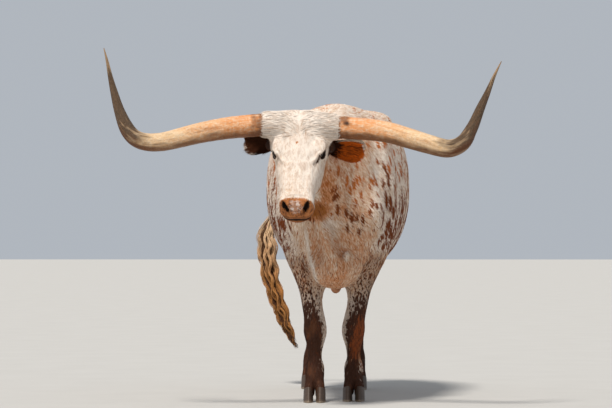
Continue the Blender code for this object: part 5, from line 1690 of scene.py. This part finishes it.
def eye_material():
    """A dark brown iris with a long pupil, darker at its edge, and a dull white beyond it."""
    looks = Looks("eye")
    vector, along, across, angle = looks.kept("eye")
    pupil = (along * along * PUPIL_LENGTH**-2 + across * across * PUPIL_WIDTH**-2).over(0.9, 6.0)
    iris = looks.mix(vector.stretched(1, 1, 0.12).noise(22), (0.012, 0.0055, 0.003), (0.060, 0.026, 0.011))
    colour = looks.mix(pupil, (0.002, 0.0015, 0.0015), iris)
    colour = looks.mix(angle.over(0.68, 9.0), colour, (0.006, 0.004, 0.003))
    white = looks.mix(vector.noise(9, 3), (0.22, 0.13, 0.10), (0.42, 0.33, 0.28))
    colour = looks.mix(angle.over(0.92, 7.0), colour, white)
    return looks.done(colour, 0.20, 0.15, 0.28)


def ear_axes(sign):
    """The middle of the ear's root, and directions along it, across it and out of its cup."""
    root, pointing = ear_root(sign)
    along = unit(by_horns(*pointing) - HORN_AXIS)
    facing = unit(by_horns(0.20 * sign, -0.22, 1) - HORN_AXIS)
    cup = unit(facing - along * (facing @ along))
    return np.array(by_horns(*root)), along, np.cross(along, cup), cup


def ear_arc(sign, share, offset):
    """One arc across an ear, offset outwards from the middle of its skin. Share runs from root to tip."""
    root, along, across, cup = ear_axes(sign)
    half = EAR_HALF_WIDTH * (0.42 + 1.30 * share - 0.36 * share**2) * math.sqrt(max(1 - share**3.2, 0.004))
    half = min(half, EAR_HALF_WIDTH * 1.02)
    spread = 2.40 - 1.55 * share**0.5
    middle = half / math.sin(min(spread, math.pi / 2))
    centre = root + along * (EAR_LENGTH * share - 0.012) + cup * (middle * 0.86 - 0.018 - 0.014 * share)
    angle = (spread * np.linspace(-1, 1, EAR_STEPS + 1))[:, None]
    ripple = 0.0012 * np.sin(9 * angle + 14 * share) * share * (1 - share)
    return centre + (across * np.sin(angle) - cup * np.cos(angle)) * (middle + offset + ripple)


def ear_marks(sign, across, share, inside):
    """How brown, how rusty and how pale an ear is, by place: across it, up it and inside or out."""
    upper = -sign * across
    if sign > 0:
        brown = 0.05 + 0.95 * ease(0.42 - share, 0, 0.34) + 0.34 * inside * ease(0.6 - np.abs(across), 0, 0.4)
        rust = 1.15 * ease(share, 0.10, 0.40) * ease(0.70 - upper, 0, 0.3) + 0.2 * inside
        pale = 1.1 * ease(upper, 0.62, 0.85) * ease(share, 0.05, 0.25)
        pale = pale + 0.25 * (1 - inside) * ease(share, 0.5, 0.9)
    else:
        # The right ear is dark brown nearly all over, partly its own colour and partly painted shadow of the
        # horn above it.
        brown = 0.92 - 0.25 * share + 0.2 * inside
        rust = 0.60 * ease(share, 0.2, 0.8)
        pale = 0.70 * ease(-upper, 0.84, 0.98) * ease(share, 0.2, 0.5)
    return np.stack([brown, rust, pale], -1)


def ear_colour(looks, place):
    """Rust and orange with brown, and pale where the hair is white."""
    noise = place.stretched(0.30, 1, 1).mottled(120, 3, 0.6)
    brown, rust, pale = (value + noise * 0.62 for value in looks.kept("ear")[1:])
    # The bright orange is partly the ear's own rust and partly painted light shining through its thin skin.
    colour = looks.mix(rust.over(0.60, 2.6), (0.46, 0.17, 0.062), (0.78, 0.150, 0.014))
    colour = looks.mix(brown.over(0.66, 2.8), colour, (0.048, 0.014, 0.005))
    return looks.mix(pale.over(0.88, 3.5), colour, (0.74, 0.61, 0.50))


def ear_material():
    looks = Looks("ear_skin")
    place = looks.place()
    looks.bump(place.noise(420, 3, 0.6), 0.0010, 0.6)
    return looks.done(ear_colour(looks, place), 0.88, 0.06)


def ear_hair_material():
    looks = Looks("ear_hair")
    tone = looks.kept("tuft")[1]
    brown = looks.kept("ear")[1]
    colour = looks.shaded(ear_colour(looks, looks.kept("root")[0]), tone * 0.40 + 0.78)
    colour = looks.mix((tone + brown * 0.45).over(0.86, 9) * 0.85, colour, (0.042, 0.013, 0.005))
    looks.bump(looks.place().stretched(1, 1, 0.25).noise(800, 1), 0.0005, 0.5)
    return looks.done(colour, 0.85, 0.08)


def ear_half_skin(share):
    """Half the thickness of an ear's skin, thinner towards the tip."""
    return (EAR_SKIN - 0.0018) * (1 - 0.55 * share) / 2


def make_ear_leaf(side, material):
    """The skin of an ear, a leaf rolled into a cup."""
    sign = SIDES[side]
    shares = np.linspace(0, 1, EAR_RINGS)
    rings = []
    for share in shares:
        half = ear_half_skin(share)
        rings.append(np.vstack([ear_arc(sign, share, half), ear_arc(sign, share, -half)[::-1]])[::sign])
    mesh = ring_mesh("ear_" + side, rings)
    spread = np.concatenate([np.linspace(-1, 1, EAR_STEPS + 1), np.linspace(1, -1, EAR_STEPS + 1)])[::sign]
    inner = np.repeat([0.0, 1.0], EAR_STEPS + 1)[::sign]
    marks = np.array([ear_marks(sign, spread, share + 0 * spread, inner) for share in shares])
    add_values(mesh, "ear", with_caps(marks))
    placed("ear_" + side + "_leaf", mesh, material, ["ear_" + side])


def ear_roots(sign, share, place, inside):
    """Places on the skin of an ear, by how far up it and across it they are, and the normals there."""
    _, along, _, cup = ear_axes(sign)
    roots, ups = [], []
    for at, where in zip(share, place):
        arc = ear_arc(sign, at, (-1 if inside else 1) * ear_half_skin(at))
        spot = (where + 1) / 2 * EAR_STEPS
        step = min(int(spot), EAR_STEPS - 1)
        onward = arc[step + 1] - arc[step]
        roots.append(arc[step] + onward * (spot - step))
        up = unit(np.cross(unit(onward), along))
        ups.append(up if (up @ cup > 0) == inside else -up)
    return np.array(roots), np.array(ups)


def make_ear_hair(side, material):
    """Short hair outside an ear, a long fringe and loose hair in its cup."""
    sign = SIDES[side]
    _, along, across, cup = ear_axes(sign)
    draw = np.random.default_rng(EAR_SEED + sign)
    for part, (count, inside, low, high, sizes, fan, rise) in EAR_HAIR.items():
        share = draw.uniform(low, high, count) ** 0.8
        place = draw.uniform(-1, 1, count)
        # The fringe grows along the ear's two edges.
        if part == "fringe":
            place = np.sign(place)
        roots, ups = ear_roots(sign, share, place, inside)
        ways = along + across * (fan * place)[:, None] + cup * rise + draw.normal(0, 0.14, (count, 3))
        ways = units(ways + (laid(ways, ups) - ways) * (0.3 if rise else 0.9))
        name, axis = "coat_ear_" + part + "_" + side, (roots.mean(axis=0), along)
        obj = coat_piece(name, None, roots, ups, ways, sizes, 4, axis, material, draw)
        marks = ear_marks(sign, place, share, np.full(count, float(inside)))
        add_values(obj.data, "ear", np.repeat(marks, len(obj.data.vertices) // count, axis=0))


def make_lashes(material):
    """Lashes of the upper lids and a few of the lower, in one piece."""
    draw = np.random.default_rng(LASH_SEED)
    roots, ups, ways = [], [], []
    for sign in SIDES.values():
        eye, gaze, slit, across = eye_frame(sign)
        upper = -sign * across
        for angle in np.concatenate([np.linspace(0.25, math.pi - 0.25, 90), np.linspace(-2.6, -0.5, 24)]):
            angle += draw.normal(0, 0.03)
            along, over = 0.0198 * math.cos(angle), 0.0116 * math.sin(angle)
            forward = math.sqrt((EYE_RADIUS + 0.002) ** 2 - along**2 - over**2)
            roots.append(eye + slit * along + upper * over + gaze * forward)
            way = gaze * 0.8 + upper * (0.75 if angle > 0 else -0.5) + slit * (0.35 * math.cos(angle) + 0.25)
            ways.append(unit(way + draw.normal(0, 0.10, 3)))
            ups.append(unit(np.cross(np.cross(ways[-1], upper), ways[-1])))
    roots, ups, ways = np.array(roots), np.array(ups), np.array(ways)
    marks = np.tile((0.0, 0.0, 0.12), (len(roots), 1))
    sizes, axis = (0.017, 0.0010, -0.12), (POLL, FACE_DOWN)
    coat_piece("coat_lashes", None, roots, ups, ways, sizes, 5, axis, material, draw, marks)


def claw_levels(share):
    """A claw's half length, half width and how far back its middle sits, from the ground up."""
    stations, *columns = np.array(CLAW_SHAPE).T
    return [np.interp(share, stations, column) for column in columns]


def make_claw(name, place, sign, material, node):
    """One half of a cloven hoof, with growth rings that follow the coronet and a worn edge."""
    across, along = place
    corner = math.tau * np.arange(CLAW_SIDES) / CLAW_SIDES
    outward = np.sin(corner) * np.where(np.sin(corner) < 0, 0.78, 1.0)
    pinch = 1 - 0.30 * np.maximum(-np.cos(corner), 0) ** 2
    rings, kept = [], []
    for share in np.arange(CLAW_LEVELS) / (CLAW_LEVELS - 1):
        half_length, half_width, back = claw_levels(share)
        worn = 0.0016 * max(1 - share * 14, 0) ** 2
        ridge = 0.0005 * math.sin(math.tau * share * 6.5) * (1 - share) - worn - 0.0002
        y = (half_length + ridge) * np.cos(corner) + back
        top = CORONET_HEIGHT - CORONET_SLOPE * y
        x = across + sign * (TOE_SPREAD + (half_width + ridge) * outward * pinch)
        rings.append(np.stack([x, along - HOOF_FORWARD + y, top * share], 1)[::sign])
        kept.append(np.stack([share + 0 * y, y * 10, x * 10], 1)[::sign])
    mesh = ring_mesh(name, rings)
    add_values(mesh, "hoof", with_caps(np.array(kept)))
    placed(name, mesh, material, [node])


def make_dewclaw(name, place, sign, material, node):
    across, along = place
    shape = [(0.018, 0.010, 0.136, 0.0105, 0.0095), (0.022, 0.030, 0.126, 0.0130, 0.0120),
             (0.024, 0.040, 0.117, 0.0116, 0.0098), (0.025, 0.0445, 0.1105, 0.0062, 0.0052),
             (0.025, 0.0455, 0.1095, 0.0020, 0.0016)]
    rows = flowing([(across + sign * out, along + back, *rest) for out, back, *rest in shape], 6)
    side, depth = frames_along(rows[:, :3], np.array((1.0, 0, 0)))
    corner = math.tau * np.arange(24) / 24
    wide = rows[:, 3, None] * np.cos(corner) + 0.0003 * np.sin(np.arange(len(rows)) * 1.7)[:, None]
    deep = rows[:, 4, None] * np.sin(corner)
    points = rows[:, None, :3] + side[:, None] * wide[..., None] + depth[:, None] * deep[..., None]
    mesh = ring_mesh(name, points)
    share = np.linspace(0.9, 0.1, len(rows))[:, None] + 0 * corner
    add_values(mesh, "hoof", with_caps(np.stack([share, points[..., 1] * 10, points[..., 0] * 10], -1)))
    placed(name, mesh, material, [node])


def hoof_material():
    """Dark horn with pale streaks up it, and a worn edge."""
    looks = Looks("hoof")
    vector, share, _, _ = looks.kept("hoof")
    rings = vector.stretched(30, 0.6, 0.6).noise(1.0, 3, 0.6)
    streaks = vector.stretched(0.5, 18, 18).noise(1.4)
    colour = looks.mix(rings, (0.030, 0.019, 0.014), (0.105, 0.066, 0.045))
    colour = looks.mix(streaks.over(0.52, 4) * 0.5, colour, (0.16, 0.10, 0.065))
    colour = looks.mix(1.0 - (share - streaks * 0.2).over(-0.05, 9), colour, (0.22, 0.16, 0.11))
    looks.bump(rings + streaks * 0.4, 0.0016, 0.8)
    return looks.done(colour, rings * 0.25 + 0.38, 0.4)


def make_hooves(material):
    for foot, place in feet():
        for part, sign in (("a", -1), ("b", 1)):
            make_claw(f"hoof_{part}_{foot}", place, sign, material, f"claw_{part}_{foot}")
            make_dewclaw(f"knob_{part}_{foot}", place, sign, material, f"dewclaw_{part}_{foot}")


def switch_locks(draw, begin, end):
    """Each lock's start and length along the tail, its clump, angle, phase, its clump's reach and its own."""
    start = begin + (end - begin) * 0.66 * draw.random(SWITCH_LOCKS) ** 1.35
    slack = draw.uniform(0.30, 0.52, SWITCH_LOCKS)
    length = np.minimum(slack, end - start + draw.uniform(-0.05, 0.012, SWITCH_LOCKS))
    clump = draw.integers(0, SWITCH_CLUMPS, SWITCH_LOCKS)
    angle = math.tau * (clump + draw.uniform(0.18, 0.82, SWITCH_LOCKS)) / SWITCH_CLUMPS
    phase = draw.uniform(0, math.tau, SWITCH_CLUMPS)[clump] + draw.normal(0, 0.16, SWITCH_LOCKS)
    inner = np.array([0.62, 1.0, 0.90])[draw.integers(0, 3, SWITCH_CLUMPS)][clump]
    lift = draw.uniform(0.35, 1.0, SWITCH_LOCKS) ** 0.5 * inner
    return start, length, clump, angle, phase, inner, lift


def switch_spots(place, share, begin, angle, phase, lift):
    """The middles of wavy locks round the tail's path, their flat sides and the way ahead there."""
    path = flowing(TAIL_PATH, 8)
    travel = travelled(path[:, :3])
    lines = np.hstack([path, np.gradient(path[:, :3], travel, axis=0)]).T
    x, y, z, wide, deep, *slopes = (np.interp(place, travel, line) for line in lines)
    ahead = units(np.stack(slopes, -1))
    wide = 1.10 * wide + 0.020 * np.exp(-(((place - begin - 0.12) / 0.10) ** 2))
    side = units(np.cross(ahead, (0, 1, 0)))
    depth = np.cross(ahead, side)
    out = lift * (0.30 + 0.98 * np.sin(math.pi * np.minimum(0.08 + share * 0.76, 1)) ** 0.6)
    swirl = angle + 0.35 * np.sin(phase + 3 * place / 0.3) * share
    growing = np.minimum(share * 3, 1)
    wave = 0.0080 * np.sin(phase + math.tau * place / (0.11 + 0.012 * np.cos(phase))) * growing
    sway = 0.0060 * np.cos(phase * 1.7 + math.tau * place / 0.095) * growing
    spots = np.stack([x, y, z], -1) + side * (np.cos(swirl) * wide * out + wave)[..., None]
    spots += depth * (np.sin(swirl) * deep * out + sway)[..., None]
    flat = units(laid(side * -np.sin(swirl)[..., None] + depth * np.cos(swirl)[..., None], ahead))
    return spots, flat, ahead


def make_tail_switch(material):
    """The long wavy hair at the end of the tail, in clumps of locks that start down its upper part."""
    draw = np.random.default_rng(SWITCH_SEED)
    travel = travelled(flowing(TAIL_PATH, 8)[:, :3])
    begin, end = travel[(TAIL_DOCK_ROWS - 1) * 8] - 0.10, travel[-1] - 0.02
    start, length, clump, angle, phase, inner, lift = switch_locks(draw, begin, end)
    share = np.linspace(0, 1, SWITCH_RINGS)[None]
    place = start[:, None] + length[:, None] * share
    spots, flat, ahead = switch_spots(place, share, begin, angle[:, None], phase[:, None], lift[:, None])
    thick = draw.uniform(0.0020, 0.0044, SWITCH_LOCKS)[:, None]
    half = thick * np.sin(math.pi * (0.12 + 0.84 * share)) ** 0.8
    patches = unwrapped(spots[:, 0], (TAIL_PATH[9][0], TAIL_PATH[9][1], 0.5), (0.1, 0, 1))
    up = np.cross(ahead, flat)
    mesh, shares, size = lock_mesh("coat_switch", spots, flat, up, half, half * 0.45, patches, 4)
    add_values(mesh, "root", np.repeat(spots[:, 0] + np.array(ORIGIN_SHIFT), size, axis=0))
    # Painted shade: locks of the inner clumps and those close to the tail are darker, with some tone of each
    # clump's own.
    switch_shade_and_tone = 1.15 * (1 - inner) + 0.22 * draw.random(SWITCH_CLUMPS)[clump] + 0.35 * (1 - lift)
    tone = np.repeat(np.clip(switch_shade_and_tone + 0.22 * draw.random(SWITCH_LOCKS), 0, 1), size)
    below = (np.repeat(start, size) + np.repeat(length, size) * shares - begin) / (end - begin)
    add_values(mesh, "tuft", np.stack([tone, shares, below], 1))
    placed("coat_switch", mesh, material, ["tail_switch"])


def tail_material():
    """Cream on top and golden brown below, darker further down, with painted shade on the locks that lie deep
    in the switch.
    """
    looks = Looks("tail_hair")
    _, tone, _, below = looks.kept("tuft")
    strands = looks.place().stretched(1, 1, 0.06).mottled(520)
    colour = looks.mix((below + tone * 0.3).over(0.18, 2.2), (0.78, 0.56, 0.35), (0.50, 0.220, 0.062))
    # Dark brown where the tone is high: painted shade deep in the switch, and some locks dark of their own.
    colour = looks.mix((tone * 0.9 + below * 0.36).over(0.50, 2.6), colour, (0.075, 0.028, 0.010))
    colour = looks.mix(strands.over(0.50, 2) * 0.45, colour, (0.15, 0.062, 0.022))
    looks.bump(strands, 0.0010, 0.5)
    return looks.done(colour, 0.55, 0.25)


def make_floor():
    mesh = bpy.data.meshes.new("floor")
    corners = [(x * FLOOR_REACH, y * FLOOR_REACH, 0) for x, y in ((-1, -1), (1, -1), (1, 1), (-1, 1))]
    mesh.from_pydata(corners, [], [(0, 1, 2, 3)])
    floor = bpy.data.objects.new("floor", mesh)
    bpy.context.scene.collection.objects.link(floor)
    looks = Looks("floor")
    colour = looks.mix(looks.place().noise(3.0, 3), (0.47, 0.455, 0.43), (0.52, 0.505, 0.48))
    mesh.materials.append(looks.done(colour, 0.9, 0.1))
    floor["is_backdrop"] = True


# The photograph's camera, its turn and tilt in degrees and its lens in millimetres, then sun and sky.
CAMERA_TURN = 1.5
CAMERA_TILT = 0.786
CAMERA_DISTANCE = 14.0
CAMERA_ASIDE = 0.1355
CAMERA_HEIGHT = 0.778
CAMERA_LENS = 167.18
CAMERA_SENSOR = 36.0
CAMERA_REACH = 400.0
SUN_STRENGTH = 3.55
SUN_SIZE = 10.0
SUN_COLOUR = (1.0, 0.96, 0.90)
SUN_WAY = Vector((0.24, 0.50, -0.92))
SKY_COLOUR = (0.78, 0.84, 0.92)
SKY_STRENGTH = 0.56


def make_camera():
    turn = math.radians(CAMERA_TURN)
    ahead, right = Vector((-math.sin(turn), math.cos(turn), 0)), Vector((math.cos(turn), math.sin(turn), 0))
    data = bpy.data.cameras.new("camera")
    data.lens = CAMERA_LENS
    data.sensor_width = CAMERA_SENSOR
    data.clip_end = CAMERA_REACH
    camera = bpy.data.objects.new("camera", data)
    bpy.context.scene.collection.objects.link(camera)
    middle = ORIGIN_SHIFT + Vector((-0.012, 0, CAMERA_HEIGHT))
    camera.location = middle - ahead * CAMERA_DISTANCE - right * CAMERA_ASIDE
    camera.rotation_euler = (math.radians(90 + CAMERA_TILT), 0, turn)
    bpy.context.scene.camera = camera


def make_light():
    """A large soft sun from the upper left of the camera, and a pale sky."""
    sun = bpy.data.lights.new("key", "SUN")
    sun.energy = SUN_STRENGTH
    sun.angle = math.radians(SUN_SIZE)
    sun.color = SUN_COLOUR
    key = bpy.data.objects.new("key", sun)
    bpy.context.scene.collection.objects.link(key)
    key.rotation_euler = SUN_WAY.to_track_quat("-Z", "Y").to_euler()
    world = bpy.data.worlds.new("sky")
    world.use_nodes = True
    background = world.node_tree.nodes["Background"].inputs
    background["Color"].default_value = (*SKY_COLOUR, 1)
    background["Strength"].default_value = SKY_STRENGTH
    bpy.context.scene.world = world
    bpy.context.scene.view_settings.view_transform = "Standard"


def make_longhorn():
    skin = Skin(steer_flesh())
    surface = make_skin(skin)
    fur = tuft_material()
    make_short_coat(skin, surface, fur)
    make_poll_hair(skin, surface, fur)
    make_lashes(fur)
    ear_skin, ear_hair = ear_material(), ear_hair_material()
    horn_finish, eye_finish = horn_material(), eye_material()
    for side in SIDES:
        make_horn(side, horn_finish)
        make_eye(side, eye_finish)
        make_ear_leaf(side, ear_skin)
        make_ear_hair(side, ear_hair)
    make_hooves(hoof_material())
    make_tail_switch(tail_material())


for old in list(bpy.data.objects):
    bpy.data.objects.remove(old)
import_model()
solids_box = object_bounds()
make_longhorn()
make_floor()
make_light()
make_camera()
boxes = {"solids": solids_box, "visual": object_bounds()}
{name: [[float(value) for value in corner] for corner in box] for name, box in boxes.items()}
